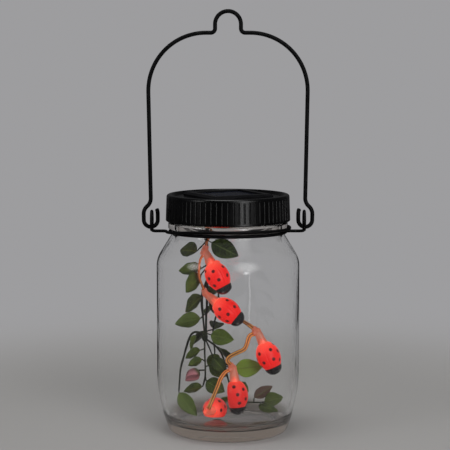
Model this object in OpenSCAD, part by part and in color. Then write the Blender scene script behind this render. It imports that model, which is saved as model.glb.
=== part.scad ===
// Hanging jar lantern with a solar lid. Inside it, a string of five
// ladybug lights is wound with an artificial vine.
// Millimetres. +Z is up, +X runs from ear to ear, the base stands on Z = 0.

/* [Glass jar] */
// Height of the glass, from the standing ring to the sealing rim
jar_h = 138.5; // [130:0.5:170]
// Outside diameter of the body
body_d = 85; // [84:0.5:92]
// Thickness of the glass wall
wall = 2.9; // [2:0.1:3.4]
// Thickness of the floor in the middle
floor_t = 7; // [6:0.5:9]
// Height of the long curve above the standing ring
heel_h = 38; // [30:1:44]
// Radius of that long curve, seen from the side
heel_r = 100; // [90:1:130]
// Radius of the lower outside edge
heel_edge_r = 4.5; // [3:0.5:6]
// Radius of the inside corner at the floor
floor_edge_r = 9; // [6:0.5:11]
// Width of the flat ring that the jar stands on
foot_w = 3; // [2:0.5:6]
// Height of the hollow under the floor
push_up = 2; // [1:0.25:3]
// Lean of the shoulder from upright, in degrees
shoulder_lean = 31.6; // [28:0.2:36]
// Radius between the body and the shoulder
shoulder_r = 15; // [10:0.5:18]
// Outside diameter of the groove under the bead
neck_d = 66.6; // [66:0.1:67.4]
// Height of that groove
groove_h = 2.7; // [2.6:0.1:3.2]
// Outside diameter of the bead under the screw finish
bead_d = 71; // [70:0.2:71.6]
// Height of the bead
bead_h = 4.8; // [4.6:0.1:5.2]
// Outside diameter of the screw finish without its thread
finish_d = 67.2; // [66.6:0.1:68]
// Height of the screw finish above the bead
finish_h = 11.8; // [11.6:0.1:14]
// Diameter of the mouth
mouth_d = 60.4; // [59:0.1:61]

/* [Lid] */
// Height of the cap from its lower edge to its top ring
cap_h = 15.6; // [15:0.1:18]
// Outside diameter at the lower edge
cap_d = 74; // [73.4:0.1:77]
// How much narrower the cap is at the top, on the radius
cap_draft = 0.5; // [0.2:0.1:0.8]
// Wall of the skirt at the lower edge
cap_wall = 1.8; // [1.4:0.1:1.9]
// Thickness of the top plate
deck_t = 1.8; // [1.6:0.1:2.4]
// Height of the outer ring above the plate
rim_h = 1.4; // [1:0.1:1.6]
// Width of the flat top of that ring
rim_w = 1.5; // [1:0.1:2]
// Width of the groove inside the ring
moat_w = 1.4; // [1:0.1:2]
// Depth of the groove below the plate's top
moat_depth = 0.4; // [0.2:0.1:0.6]
// Number of grip grooves round the skirt
grip_count = 72; // [60:4:84]
// Radius of one grip groove
grip_r = 0.75; // [0.6:0.05:0.9]
// Depth of one grip groove
grip_depth = 0.45; // [0.3:0.05:0.5]
// Thickness of the sealing ring
gasket_t = 1; // [0.8:0.1:1.4]
// Width of the sealing ring
gasket_w = 3; // [2.6:0.1:3.2]

/* [Solar panel] */
// Side of the square frame
frame_side = 40; // [39:0.1:41]
// Height of the frame above the plate
frame_h = 2.2; // [2:0.1:2.6]
// Radius of the frame's upright corners
frame_corner_r = 1.5; // [1:0.1:2]
// Slope that is cut off the frame's upper edge
frame_chamfer = 1.3; // [0.8:0.1:1.5]
// Turn of the frame on the cap, in degrees
frame_turn = 28.5; // [0:0.5:45]
// Side of the frame's window
window_side = 31.6; // [31:0.1:32.4]
// Side of the solar cell
cell_side = 33; // [32.6:0.1:33.4]
// Thickness of the solar cell
cell_t = 0.5; // [0.4:0.05:0.6]
// Thickness of the clear resin over the cell
resin_t = 0.9; // [0.7:0.05:1]
// Side of the board under the cell
backing_side = 33.4; // [33:0.1:34]
// Thickness of that board
backing_t = 1; // [0.8:0.1:1.1]

/* [Battery housing] */
// Outside diameter of the housing
housing_d = 54; // [53.6:0.1:56]
// Wall of the housing
housing_wall = 1.4; // [1.2:0.1:1.6]
// Top plate of the housing
housing_top_t = 1; // [0.8:0.1:1.2]
// Depth from the plate to the outside of the cover
housing_h = 12.7; // [12.6:0.1:13.4]
// Thickness of the cover
cover_t = 1.4; // [1.2:0.1:1.4]
// Distance of the screws from the middle
screw_place = 22; // [21.8:0.1:22.4]
// Diameter of the screw bosses
boss_d = 4.8; // [4.4:0.1:5]
// Diameter of the screw shanks
screw_d = 2; // [1.8:0.1:2.2]
// Length of the screw shanks
screw_length = 6; // [5:0.5:7]
// Diameter of the screw heads
screw_head_d = 3.6; // [3.2:0.1:4]
// Height of the screw heads
screw_head_h = 0.9; // [0.6:0.1:0.9]
// Diameter of the rechargeable cell
battery_d = 10.1; // [9.6:0.1:10.3]
// Length of the rechargeable cell
battery_length = 28.5; // [26:0.5:29]
// Distance of the cell from the middle line
battery_place = 9; // [8.6:0.1:9.6]
// Thickness of the contact plates
clip_t = 0.5; // [0.4:0.1:0.6]
// Side of the contact plates
clip_side = 8.6; // [7.5:0.1:9]

/* [Electronics] */
// Length of the circuit board
board_length = 33; // [31:0.5:34]
// Width of the circuit board
board_w = 14; // [12:0.5:15]
// Thickness of the circuit board
board_t = 1.2; // [0.8:0.1:1.6]
// Distance of the board's middle from the middle line
board_place = 9.5; // [9:0.1:10]
// Length of the slide switch
switch_length = 8.6; // [8:0.1:9]
// Width of the slide switch
switch_w = 3.8; // [3.4:0.1:4.2]
// Height of the slide switch
switch_h = 3; // [2.8:0.1:3.4]
// Travel of the switch button
switch_travel = 2; // [1.5:0.1:2.4]
// Length of the switch button
slider_length = 2.2; // [1.8:0.1:2.4]
// Width of the switch button
slider_w = 1.4; // [1.2:0.1:1.8]
// How far the button stands out of the cover
slider_proud = 1; // [0.6:0.1:1.4]
// Diameter of the inductor
inductor_d = 4.6; // [4:0.1:5]
// Diameter of the two leads of the panel
lead_d = 1.2; // [1:0.1:1.4]

/* [Neck wire] */
// Diameter of the neck wire
neck_wire_d = 1.9; // [1.7:0.1:2]
// Distance of the ears from the middle
ear_x = 45.3; // [45:0.1:46]
// Radius of an ear, to the middle of its wire
ear_r = 5.9; // [5.6:0.1:6.6]
// Rise of the upper strand in front
strand_rise = 3.15; // [2.9:0.05:3.2]

/* [Bail] */
// Diameter of the bail's wire
bail_wire_d = 2.5; // [2.2:0.1:2.8]
// Height from the pivot to the top of the hook hump
bail_rise = 127.25; // [110:0.25:150]
// Radius of the hook hump
hump_r = 7.6; // [6:0.1:9]
// Straight legs of the hump
hump_leg = 2.5; // [1:0.1:5]
// Radius where a leg turns outward
hump_foot_r = 2.5; // [2:0.1:4]
// Radius of the bail's shoulders
bail_shoulder_r = 34; // [28:0.5:34]
// Lean of the arms, in degrees
arm_lean = 1; // [0:0.25:2]
// Radius of the two bends above an eye
shank_bend_r = 6.2; // [5.6:0.1:8]
// Turn of each of those bends, in degrees
shank_turn = 50; // [44:1:50]
// Radius of a bail eye
eye_r = 4.15; // [4:0.05:4.6]
// Straight side of a bail eye
eye_side = 3.5; // [3:0.1:5]

/* [Ladybug lights] */
// Length of a red shell
shell_length = 15.2; // [14:0.1:16]
// Largest radius of a shell
shell_r = 7; // [6.4:0.1:7.2]
// Wall of a shell
shell_wall = 0.9; // [0.7:0.05:1.1]
// Distance of the flat belly from the axis
belly = 4.4; // [4:0.1:5]
// Length of a black head
head_length = 4.6; // [4:0.1:5]
// Length of the tapered sleeve at the tail
sleeve_length = 8; // [7.5:0.1:9]
// Radius of the sleeve at the shell
sleeve_r = 3; // [2.8:0.05:3.1]
// Radius of the sleeve at the lead
sleeve_tip_r = 1.9; // [1.8:0.05:2.1]
// Diameter of the light bulb
bulb_d = 3; // [2.8:0.1:3.2]
// Length of the light bulb in front of its flange
bulb_length = 4.5; // [4:0.1:5.5]
// Width of the twin lead
lead_w = 2.6; // [2.2:0.1:2.8]
// Thickness of the twin lead
lead_t = 1.3; // [1.1:0.1:1.4]

/* [Vine] */
// Radius of the main stem
stem_r = 0.9; // [0.7:0.05:1]
// Thickness of a leaf
leaf_t = 0.45; // [0.35:0.05:0.6]
// Radius of the pink bud
bud_r = 4; // [3.5:0.1:4.4]

/* [Clearances] */
// Wire to glass, on the radius
wire_gap = 0.25; // [0.2:0.05:0.3]
// Bail wire to ear wire
pivot_gap = 0.25; // [0.2:0.05:0.3]
// Pieces that are fitted into each other by hand
fit_gap = 0.1; // [0.08:0.01:0.15]
// Pieces that slide on each other
slide_gap = 0.2; // [0.15:0.05:0.25]

/* [Hidden] */
BUG_NAMES = ["1", "2", "3", "4", "5"];
SPRAY_NAMES = ["1", "2", "3", "4", "5", "6"];
$fn = 96;
SMALL_FN = 32;
EPS = 0.01;

// Levels of the glass
body_r = body_d / 2;
neck_r = neck_d / 2;
bead_r = bead_d / 2;
finish_r = finish_d / 2;
mouth_r = mouth_d / 2;
bead_top_z = jar_h - finish_h;
bead_low_z = bead_top_z - bead_h;
groove_low_z = bead_low_z - groove_h;
lip_r = 1.2;
bead_edge_r = 1.4;
push_up_slope = 2;

// Levels of the lid
ceiling_z = jar_h + gasket_t;
deck_z = ceiling_z + deck_t;
cap_top_z = deck_z + rim_h;
cap_low_z = cap_top_z - cap_h;
cap_r = cap_d / 2;
cap_bore_r = cap_r - cap_wall;
cover_z = ceiling_z - housing_h;
cover_top_z = cover_z + cover_t;
cap_edge_r = 1.3;
pocket_gap = slide_gap;
backing_low_z = deck_z - backing_t;
cell_low_z = deck_z;
resin_low_z = cell_low_z + cell_t;
lead_hole_d = 4.4;

// Levels inside the housing
housing_r = housing_d / 2;
bore_in_housing = housing_r - housing_wall;
battery_z = cover_top_z + 0.3 + battery_d / 2;
board_low_z = cover_top_z + switch_h + fit_gap;
board_top_z = board_low_z + board_t;
switch_x = 6;
grommet_at = [-10, -5];
grommet_r = 2.4;
grommet_flange_r = 3.4;
grommet_flange_t = 0.9;
stem_hole_at = [-12.5, 2.5];
stem_boss_r = 2.2;
stem_boss_h = 2.5;

// Neck wire and pivot
wire_r = neck_wire_d / 2;
inner_lay = neck_r + wire_gap + wire_r;
outer_lay = bead_r + wire_gap + wire_r;
stub_z = groove_low_z + groove_h / 2 + 0.1;
stub_bend_r = 2.5;
ear_z = stub_z + ear_r;
bail_r = bail_wire_d / 2;
pivot_z = stub_z + wire_r + pivot_gap + bail_r;
ear_start = 25;
ear_turn = 305;

// ---- Curves -------------------------------------------------------------

// Points on an arc about [cx, cz], from angle a to angle b
function arc(cx, cz, r, a, b, n) =
    [for (i = [0 : n]) let (t = a + (b - a) * i / n) [cx + r * cos(t), cz + r * sin(t)]];

// The bunch was laid out for this depth between cover and floor, and is spread to suit others
LAID_DEPTH = 119.8;
function hang(p) = [p[0], p[1], p[2] * (cover_z - floor_t) / LAID_DEPTH];

// Unit vector
function unit(v) = v / norm(v);

// Smooth step from 0 to 1 while x goes from a to b
function ease(x, a, b) = let (t = min(1, max(0, (x - a) / (b - a)))) t * t * (3 - 2 * t);

// Direction of travel at each point of a path
function headings(p) = [for (i = [0 : len(p) - 1])
    unit(p[min(i + 1, len(p) - 1)] - p[max(i - 1, 0)])];

// Side vectors carried along a path without twisting
function sides(h, first) = [for (i = 0, s = unit(first - (first * h[0]) * h[0]); i < len(h);
    i = i + 1, s = i < len(h) ? unit(s - (s * h[i]) * h[i]) : s) s];

// Tube along a path. half is [half width along the side vector, half thickness].
module tube(path, half, first, n = 8) {
    h = headings(path);
    s = sides(h, first);
    rings = len(path);
    points = [for (i = [0 : rings - 1], k = [0 : n - 1]) let (a = 360 * (k + 0.5) / n)
        path[i] + half[0] * cos(a) * s[i] + half[1] * sin(a) * cross(h[i], s[i])];
    walls = [for (i = [0 : rings - 2], k = [0 : n - 1])
        [i * n + k, (i + 1) * n + k, (i + 1) * n + (k + 1) % n, i * n + (k + 1) % n]];
    ends = [[for (k = [0 : n - 1]) k], [for (k = [n - 1 : -1 : 0]) (rings - 1) * n + k]];
    polyhedron(points, concat(walls, ends));
}

// Square with round corners, centred
module rounded_square(side, r) {
    square([side - 2 * r, side], center = true);
    square([side, side - 2 * r], center = true);
    for (x = [-1, 1], y = [-1, 1]) translate([x * (side / 2 - r), y * (side / 2 - r)]) circle(r, $fn = SMALL_FN);
}

// ---- Glass jar ----------------------------------------------------------

heel_cx = body_r - heel_r;
edge_cx = heel_cx + sqrt(pow(heel_r - heel_edge_r, 2) - pow(heel_h - heel_edge_r, 2));
edge_end = atan2(heel_edge_r - heel_h, edge_cx - heel_cx);
in_heel_r = heel_r - wall;
corner_cz = floor_t + floor_edge_r;
corner_cx = heel_cx + sqrt(pow(in_heel_r - floor_edge_r, 2) - pow(heel_h - corner_cz, 2));
corner_end = atan2(corner_cz - heel_h, corner_cx - heel_cx);
shoulder_run = (body_r - shoulder_r * (1 - cos(shoulder_lean)) - neck_r) / tan(shoulder_lean);
shoulder_z = groove_low_z - shoulder_run - shoulder_r * sin(shoulder_lean);
shoulder_cx = body_r - shoulder_r;
in_shoulder = [shoulder_cx + (shoulder_r - wall) * cos(shoulder_lean),
               shoulder_z + (shoulder_r - wall) * sin(shoulder_lean)];
bore_low_z = in_shoulder[1] + (in_shoulder[0] - mouth_r) / tan(shoulder_lean);

// Half section of the glass: up the outside, over the lip and down the inside
jar_section = concat(
    [[0, push_up], [edge_cx - foot_w - push_up_slope, push_up * 0.8], [edge_cx - foot_w, 0]],
    arc(edge_cx, heel_edge_r, heel_edge_r, -90, edge_end, 6),
    arc(heel_cx, heel_h, heel_r, edge_end, 0, 8),
    arc(shoulder_cx, shoulder_z, shoulder_r, 0, shoulder_lean, 6),
    [[neck_r + 0.5, groove_low_z - 0.5 / tan(shoulder_lean)], [neck_r, groove_low_z + 0.4],
     [neck_r, bead_low_z - 0.3], [neck_r + 0.3, bead_low_z]],
    arc(bead_r - bead_edge_r, bead_low_z + bead_edge_r, bead_edge_r, -90, 0, 4),
    arc(bead_r - bead_edge_r, bead_top_z - bead_edge_r, bead_edge_r, 0, 90, 4),
    [[finish_r, bead_top_z]],
    arc(finish_r - lip_r, jar_h - lip_r, lip_r, 0, 90, 4),
    arc(mouth_r + lip_r, jar_h - lip_r, lip_r, 90, 180, 4),
    [[mouth_r, bore_low_z]],
    arc(shoulder_cx, shoulder_z, shoulder_r - wall, shoulder_lean, 0, 6),
    arc(heel_cx, heel_h, in_heel_r, 0, corner_end, 6),
    arc(corner_cx, corner_cz, floor_edge_r, corner_end, -90, 6),
    [[0, floor_t]]);

module glass_jar() {
    color("aliceblue", 0.35) rotate_extrude() polygon(jar_section);
}

// ---- Neck wire ----------------------------------------------------------

// One wire: rolled ear, stub, one and a half turns in the neck groove, stub, rolled ear.
// The first strand rides outside the bead in front and drops into the groove behind.
function lay_r(a) = outer_lay - (outer_lay - inner_lay) * ease(a, 430, 500);
function lay_z(a) = a <= 540
    ? stub_z + strand_rise * ease(a, 180, 262) - 1.05 * ease(a, 278, 360)
      - (strand_rise - 1.05) * ease(a, 360, 430)
    : stub_z + 0.35 * ease(a, 550, 610) - 0.35 * ease(a, 650, 710);
first_turn_at = 180 + asin(stub_bend_r / outer_lay);
last_turn_at = 720 - asin(stub_bend_r / inner_lay);
start_x = -outer_lay * cos(first_turn_at - 180) - stub_bend_r;
end_x = inner_lay * cos(720 - last_turn_at) + stub_bend_r;
ear_first = [for (i = [0 : 2]) let (t = i / 3, u = 1 - t)
    let (p0 = [ear_x - stub_bend_r - 0.3, 0, stub_z],
         p3 = [ear_x, ear_r * sin(ear_start), ear_z - ear_r * cos(ear_start)],
         p1 = p0 + [1.7, 0, 0],
         p2 = p3 - 1.2 * [0, cos(ear_start), sin(ear_start)])
    u * u * u * p0 + 3 * u * u * t * p1 + 3 * u * t * t * p2 + t * t * t * p3];
ear_ring = [for (i = [0 : 20]) let (a = ear_start + ear_turn * i / 20)
    [ear_x, ear_r * sin(a), ear_z - ear_r * cos(a)]];
right_ear = concat(ear_first, ear_ring);
left_ear = [for (i = [len(right_ear) - 1 : -1 : 0])
    [-right_ear[i][0], right_ear[i][1], right_ear[i][2]]];
start_bend = [for (p = arc(start_x, -stub_bend_r, stub_bend_r, 90, 22.5, 3)) [p[0], p[1], stub_z]];
end_bend = [for (p = arc(end_x, -stub_bend_r, stub_bend_r, 157.5, 90, 3)) [p[0], p[1], stub_z]];
turns = [for (i = [0 : 52]) let (a = first_turn_at + (last_turn_at - first_turn_at) * i / 52)
    [lay_r(a) * cos(a), lay_r(a) * sin(a), lay_z(a)]];
neck_wire_path = concat(left_ear, start_bend, turns, end_bend, right_ear);

module neck_wire() {
    color("#17181a") tube(neck_wire_path, [wire_r, wire_r], [0, 0, 1]);
}

// ---- Bail ---------------------------------------------------------------

// The bail is bent flat in the XZ plane. Each step feeds a straight length,
// then bends about a radius: [feed, radius, turn], with a turn to the right positive.
function ahead(h) = [cos(h), -sin(h)];
function turned_h(h, s) = h + s[2];
function moved(p, h, s) = let (q = p + s[0] * ahead(h), k = s[2] < 0 ? -1 : 1)
    q + k * s[1] * (ahead(h + 90) - ahead(h + s[2] + 90));
function walk(steps, p, h, i = 0) = i == len(steps) ? p
    : walk(steps, moved(p, h, steps[i]), turned_h(h, steps[i]), i + 1);

function bail_steps(flat, arm) = [
    [0, hump_r, 90], [hump_leg, hump_foot_r, -90], [flat, bail_shoulder_r, 90 + arm_lean],
    [arm, shank_bend_r, -shank_turn], [0, shank_bend_r, shank_turn],
    [eye_side, eye_r, 90 - arm_lean]];
eye_end_steps = [[0, eye_r, 90], [eye_side, 9, 22]];
bare_end = walk(bail_steps(0, 0), [0, bail_rise], 0);
arm_length = bare_end[1] / cos(arm_lean);
bail_eye_x = ear_x + 0.6;
top_flat = bail_eye_x - bare_end[0] + arm_length * sin(arm_lean);
half_bail = concat(bail_steps(top_flat, arm_length), eye_end_steps);

// Points of one bend, and of the whole wire
function bend_points(q, h, s) = let (k = s[2] < 0 ? -1 : 1, n = max(2, ceil(abs(s[2]) / bend_step)))
    [for (i = [1 : n]) q + k * s[1] * (ahead(h + 90) - ahead(h + s[2] * i / n + 90))];
function wire_points(steps, p, h, i = 0) = i == len(steps) ? [] : let (s = steps[i], q = p + s[0] * ahead(h))
    concat(s[0] > 0 ? [q] : [], bend_points(q, h, s),
        wire_points(steps, moved(p, h, s), turned_h(h, s), i + 1));
bend_step = 11;
half_path = wire_points(half_bail, [0, bail_rise], 0);
bail_path = concat([for (i = [len(half_path) - 1 : -1 : 0]) [-half_path[i][0], 0, half_path[i][1]]],
    [[0, 0, bail_rise]], [for (q = half_path) [q[0], 0, q[1]]]);

module bail_handle() {
    color("#1b1c1f") translate([0, 0, pivot_z]) tube(bail_path, [bail_r, bail_r], [0, 1, 0], 10);
}

// ---- Lid ----------------------------------------------------------------

module lid_gasket() {
    color("#d9d4c8") translate([0, 0, jar_h]) difference() {
        cylinder(r = mouth_r + gasket_w + 0.3, h = gasket_t);
        translate([0, 0, -EPS]) cylinder(r = mouth_r + 0.3, h = gasket_t + 2 * EPS);
    }
}

cap_lean = atan(cap_draft / cap_h);
rim_in_r = cap_r - cap_draft - cap_edge_r - rim_w;
deck_r = rim_in_r - rim_h - moat_w;
cap_section = concat(
    [[0, ceiling_z], [cap_bore_r, ceiling_z], [cap_bore_r, cap_low_z], [cap_r - 0.3, cap_low_z],
     [cap_r, cap_low_z + 0.3]],
    arc(cap_r - cap_draft - cap_edge_r, cap_top_z - cap_edge_r, cap_edge_r, 0, 90, 5),
    [[rim_in_r, cap_top_z], [rim_in_r - rim_h, deck_z - moat_depth],
     [deck_r, deck_z - moat_depth], [deck_r, deck_z], [0, deck_z]]);

module lid_cap() {
    color("#141416") difference() {
        rotate_extrude() polygon(cap_section);
        for (i = [0 : grip_count - 1]) rotate([0, 0, 360 * i / grip_count])
            translate([cap_r + grip_r - grip_depth, 0, cap_low_z + 1.4]) rotate([0, -cap_lean, 0])
            cylinder(r = grip_r, h = cap_h - 3.4, $fn = 16);
        rotate([0, 0, frame_turn]) {
            translate([0, 0, backing_low_z + backing_t / 2])
                cube([backing_side + 2 * pocket_gap, backing_side + 2 * pocket_gap, backing_t + EPS], center = true);
            translate([0, -board_place, ceiling_z - EPS]) cylinder(d = lead_hole_d, h = deck_t, $fn = SMALL_FN);
        }
    }
}

// ---- Solar panel --------------------------------------------------------

module panel_frame() {
    color("#101013") translate([0, 0, deck_z]) rotate([0, 0, frame_turn]) difference() {
        linear_extrude(height = frame_h) rounded_square(frame_side, frame_corner_r);
        translate([0, 0, frame_h / 2]) cube([window_side, window_side, frame_h + 2 * EPS], center = true);
        translate([0, 0, (cell_t + fit_gap) / 2 - EPS])
            cube([cell_side + 2 * slide_gap, cell_side + 2 * slide_gap, cell_t + fit_gap], center = true);
        for (a = [0 : 90 : 270]) rotate([0, 0, a]) translate([frame_side / 2, 0, frame_h])
            rotate([0, 45, 0]) cube([frame_chamfer * sqrt(2), frame_side + 2, frame_chamfer * sqrt(2)], center = true);
    }
}

module square_plate(side, low, height) {
    translate([0, 0, low]) rotate([0, 0, frame_turn])
        linear_extrude(height = height) square(side, center = true);
}

module solar_cell() {
    color("#20263a") square_plate(cell_side, cell_low_z, cell_t);
}

module panel_resin() {
    color("#3a4560", 0.5) square_plate(window_side - 2 * fit_gap, resin_low_z, resin_t);
}

module panel_backing() {
    color("#26462f") square_plate(backing_side, backing_low_z, backing_t);
}

// ---- Battery housing ----------------------------------------------------

module at_screws() {
    for (a = [0 : 90 : 270]) rotate([0, 0, a]) translate([screw_place, 0, 0]) children();
}

module battery_housing() {
    color("#1d1d20") difference() {
        union() {
            difference() {
                translate([0, 0, cover_top_z]) cylinder(r = housing_r, h = ceiling_z - cover_top_z);
                translate([0, 0, cover_top_z - EPS])
                    cylinder(r = bore_in_housing, h = ceiling_z - housing_top_t - cover_top_z + EPS);
            }
            at_screws() {
                translate([0, 0, cover_top_z]) cylinder(d = boss_d, h = ceiling_z - cover_top_z, $fn = SMALL_FN);
                translate([0, -boss_d / 2, cover_top_z])
                    cube([bore_in_housing - screw_place + housing_wall / 2, boss_d, ceiling_z - cover_top_z]);
            }
            // Cradle ribs over the cell
            for (x = [-1, 1]) translate([x * battery_length / 4 - 0.6, battery_place - battery_d / 2, battery_z])
                cube([1.2, battery_d, ceiling_z - battery_z]);
            // Ribs that hold the board from above
            for (x = [-1, 1]) translate([x * (board_length / 2 - 2) - 0.6, -board_place - board_w / 2 + 1, board_top_z])
                cube([1.2, board_w - 2, ceiling_z - board_top_z]);
        }
        translate([-battery_length / 2, battery_place, battery_z]) rotate([0, 90, 0])
            cylinder(d = battery_d + 2 * slide_gap, h = battery_length, $fn = SMALL_FN);
        at_screws() translate([0, 0, cover_top_z - EPS])
            cylinder(d = screw_d + 2 * fit_gap, h = screw_length, $fn = SMALL_FN);
        rotate([0, 0, frame_turn]) translate([0, -board_place, ceiling_z - housing_top_t - EPS])
            cylinder(d = lead_hole_d, h = housing_top_t + 2 * EPS, $fn = SMALL_FN);
    }
}

module housing_cover() {
    color("#1a1a1d") difference() {
        union() {
            translate([0, 0, cover_z]) cylinder(r = housing_r, h = cover_t);
            translate([stem_hole_at[0], stem_hole_at[1], cover_z - stem_boss_h])
                cylinder(r = stem_boss_r, h = stem_boss_h + EPS, $fn = SMALL_FN);
        }
        at_screws() {
            translate([0, 0, cover_z - EPS]) cylinder(d = screw_d + 2 * slide_gap, h = cover_t + 2 * EPS, $fn = SMALL_FN);
            translate([0, 0, cover_z - EPS])
                cylinder(d = screw_head_d + 2 * slide_gap, h = screw_head_h + EPS, $fn = SMALL_FN);
        }
        translate([switch_x + switch_travel / 2, -board_place, cover_z + cover_t / 2])
            cube([slider_length + switch_travel + 2 * slide_gap, slider_w + 2 * slide_gap, cover_t + 2 * EPS], center = true);
        translate([grommet_at[0], grommet_at[1], cover_z - EPS])
            cylinder(r = grommet_r + fit_gap, h = cover_t + 2 * EPS, $fn = SMALL_FN);
        translate([stem_hole_at[0], stem_hole_at[1], cover_z - stem_boss_h - EPS])
            cylinder(r = stem_r + fit_gap, h = stem_boss_h, $fn = SMALL_FN);
    }
}

module cover_screws() {
    color("silver") at_screws() {
        translate([0, 0, cover_z + screw_head_h - EPS]) cylinder(d = screw_d, h = screw_length - 0.5, $fn = SMALL_FN);
        difference() {
            translate([0, 0, cover_z]) cylinder(d = screw_head_d, h = screw_head_h, $fn = SMALL_FN);
            for (a = [0, 90]) rotate([0, 0, a]) translate([0, 0, cover_z])
                cube([2, 0.5, 0.8], center = true);
        }
    }
}

module battery_cell() {
    color("#3f8f52") translate([-battery_length / 2 + 0.9, battery_place, battery_z]) rotate([0, 90, 0]) {
        cylinder(d = battery_d, h = battery_length - 1.6, $fn = 48);
        cylinder(d = 4, h = battery_length - 0.9, $fn = SMALL_FN);
    }
}

module battery_clips() {
    color("gainsboro") for (x = [-1, 1])
        translate([x * (battery_length / 2 + clip_t / 2 + fit_gap), battery_place, cover_top_z + fit_gap + clip_side / 2])
            cube([clip_t, clip_side, clip_side], center = true);
}

// ---- Electronics --------------------------------------------------------

module circuit_board() {
    color("#1f6b3a") difference() {
        translate([-board_length / 2, -board_place - board_w / 2, board_low_z])
            cube([board_length, board_w, board_t - fit_gap]);
        // Holes for the light lead's two ends
        for (y = [-1, 1]) translate([-11, -board_place + 3 * y, board_low_z - EPS])
            cylinder(d = 0.9, h = board_t + 2 * EPS, $fn = 16);
    }
}

module controller_chip() {
    color("#161616") translate([-3, -board_place - 1.6, board_top_z - fit_gap]) {
        cube([4.2, 3.2, 1.5]);
        for (i = [0 : 3]) translate([0.4 + 1.05 * i, -0.9, 0]) cube([0.45, 5, 0.3]);
    }
}

module inductor() {
    color("#30363c") translate([-8.5, -board_place, board_top_z - fit_gap]) {
        cylinder(d = inductor_d, h = 0.9, $fn = SMALL_FN);
        cylinder(d = inductor_d - 1.4, h = 4.4, $fn = SMALL_FN);
        translate([0, 0, 3.5]) cylinder(d = inductor_d, h = 0.9, $fn = SMALL_FN);
    }
}

module panel_leads() {
    color("firebrick") for (x = [-1, 1])
        rotate([0, 0, frame_turn]) translate([x, -board_place, board_top_z])
            cylinder(d = lead_d, h = backing_low_z - board_top_z, $fn = 16);
}

module switch_body() {
    color("silver") translate([switch_x + switch_travel / 2, -board_place, cover_top_z]) difference() {
        translate([0, 0, switch_h / 2 + fit_gap / 2]) cube([switch_length, switch_w, switch_h - fit_gap], center = true);
        translate([0, 0, 0.9]) cube([slider_length + switch_travel + 2 * slide_gap, slider_w + 2 * slide_gap, 2], center = true);
    }
}

module switch_slider() {
    color("black") translate([switch_x, -board_place, cover_z - slider_proud]) {
        translate([-slider_length / 2, -slider_w / 2, 0]) cube([slider_length, slider_w, slider_proud + cover_t + 1.7]);
    }
}

// ---- String of lights ---------------------------------------------------

// Each bug: tail point, nose point, roll of its back, and the two ways in which the
// lead leaves the sleeve's tip: towards the lid and towards the next bug.
// Z is measured from the outside of the housing cover.
BUGS = [
    [[-10, -9, -24.5], [-1, -11, -41.5], 140, [0.25, 0.2, 0.95], [-0.45, -0.2, -0.87]],
    [[-7, -8, -47.5], [8.5, -11, -59.5], 150, [-0.35, -0.1, 0.93], [0.3, 0.75, -0.6]],
    [[20.5, -10, -72], [29, -12, -91.5], 175, [-0.8, 0.2, 0.55], [-0.8, -0.3, -0.5]],
    [[4, -12, -94.5], [6, -14, -115], 55, [-0.6, -0.2, 0.77], [-0.85, -0.35, -0.4]],
    [[-10, -12, -112], [-5, 6, -114.5], 90, [0.3, -0.5, 0.8], [0, 0, 0]]];
boss_r = 1.75;
boss_length = 3;
lead_straight = 3;
nose_length = shell_length + head_length - 0.4;

function bug_axis(b) = unit(BUGS[b][1] - BUGS[b][0]);
function tail(b) = hang(BUGS[b][0]);
function tip(b) = tail(b) - sleeve_length * bug_axis(b);
function lead_end(b, way) = tip(b) + boss_length * unit(BUGS[b][way]);

// Free points of each stretch of lead, between its two straight ends
ROUTES = [
    [[-10.5, -6.5, -8]],
    [[-17, -9.5, -27], [-17, -8.8, -32.5]],
    [[-8, 0.5, -49], [-3, 2, -53.5], [3, 2, -57], [8.5, -1, -60], [12, -5, -61.5]],
    [[10, -12.5, -74.5], [5.5, -13, -77], [1, -12.5, -79.5]],
    [[-4.5, -15.5, -92.5], [-6.5, -18, -97.5]]];
grommet_end = [grommet_at[0], grommet_at[1], -grommet_flange_t];

function route(b) = let (
    from = b == 0 ? grommet_end : lead_end(b - 1, 4),
    leave = b == 0 ? [0, 0, -1] : unit(BUGS[b - 1][4]),
    to = lead_end(b, 3),
    arrive = unit(BUGS[b][3]))
    concat([from, from + lead_straight * leave], [for (p = ROUTES[b]) hang(p)], [to + lead_straight * arrive, to]);

module light_wire(b) {
    color("#b5652c") translate([0, 0, cover_z])
        tube(route(b), [lead_w / 2, lead_t / 2], [0.2, 1, 0.1]);
}

module cable_grommet() {
    color("#202020") translate([grommet_at[0], grommet_at[1], cover_z]) {
        translate([0, 0, -grommet_flange_t]) cylinder(r = grommet_flange_r, h = grommet_flange_t, $fn = SMALL_FN);
        translate([0, 0, -EPS]) cylinder(r = grommet_r, h = cover_t + EPS, $fn = SMALL_FN);
        translate([0, 0, cover_t]) cylinder(r = grommet_r + 0.7, h = 0.7, $fn = SMALL_FN);
    }
}

// Frame of a bug: origin at the tail of its shell, +Z to its nose, +Y out of its back
module at_bug(b) {
    d = bug_axis(b);
    translate([0, 0, cover_z]) translate(tail(b))
        rotate([0, acos(d[2]), atan2(d[1], d[0])]) rotate([0, 0, BUGS[b][2]]) children();
}

// The shell is an egg, cut flat at the belly
egg_z = 8.3;
egg_half = 9.3;
function egg(z, thin) = (shell_r - thin) * sqrt(1 - pow((z - egg_z * shell_length / 15.2)
    / (egg_half * shell_length / 15.2 - thin), 2));
tail_hole_r = sleeve_r - 0.25;
head_peg_r = 3;

module egg_solid(low, high, thin) {
    rotate_extrude($fn = 48) polygon(concat([[0, low]],
        [for (i = [0 : 12]) let (z = low + (high - low) * i / 12) [egg(z, thin), z]], [[0, high]]));
}

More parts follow.
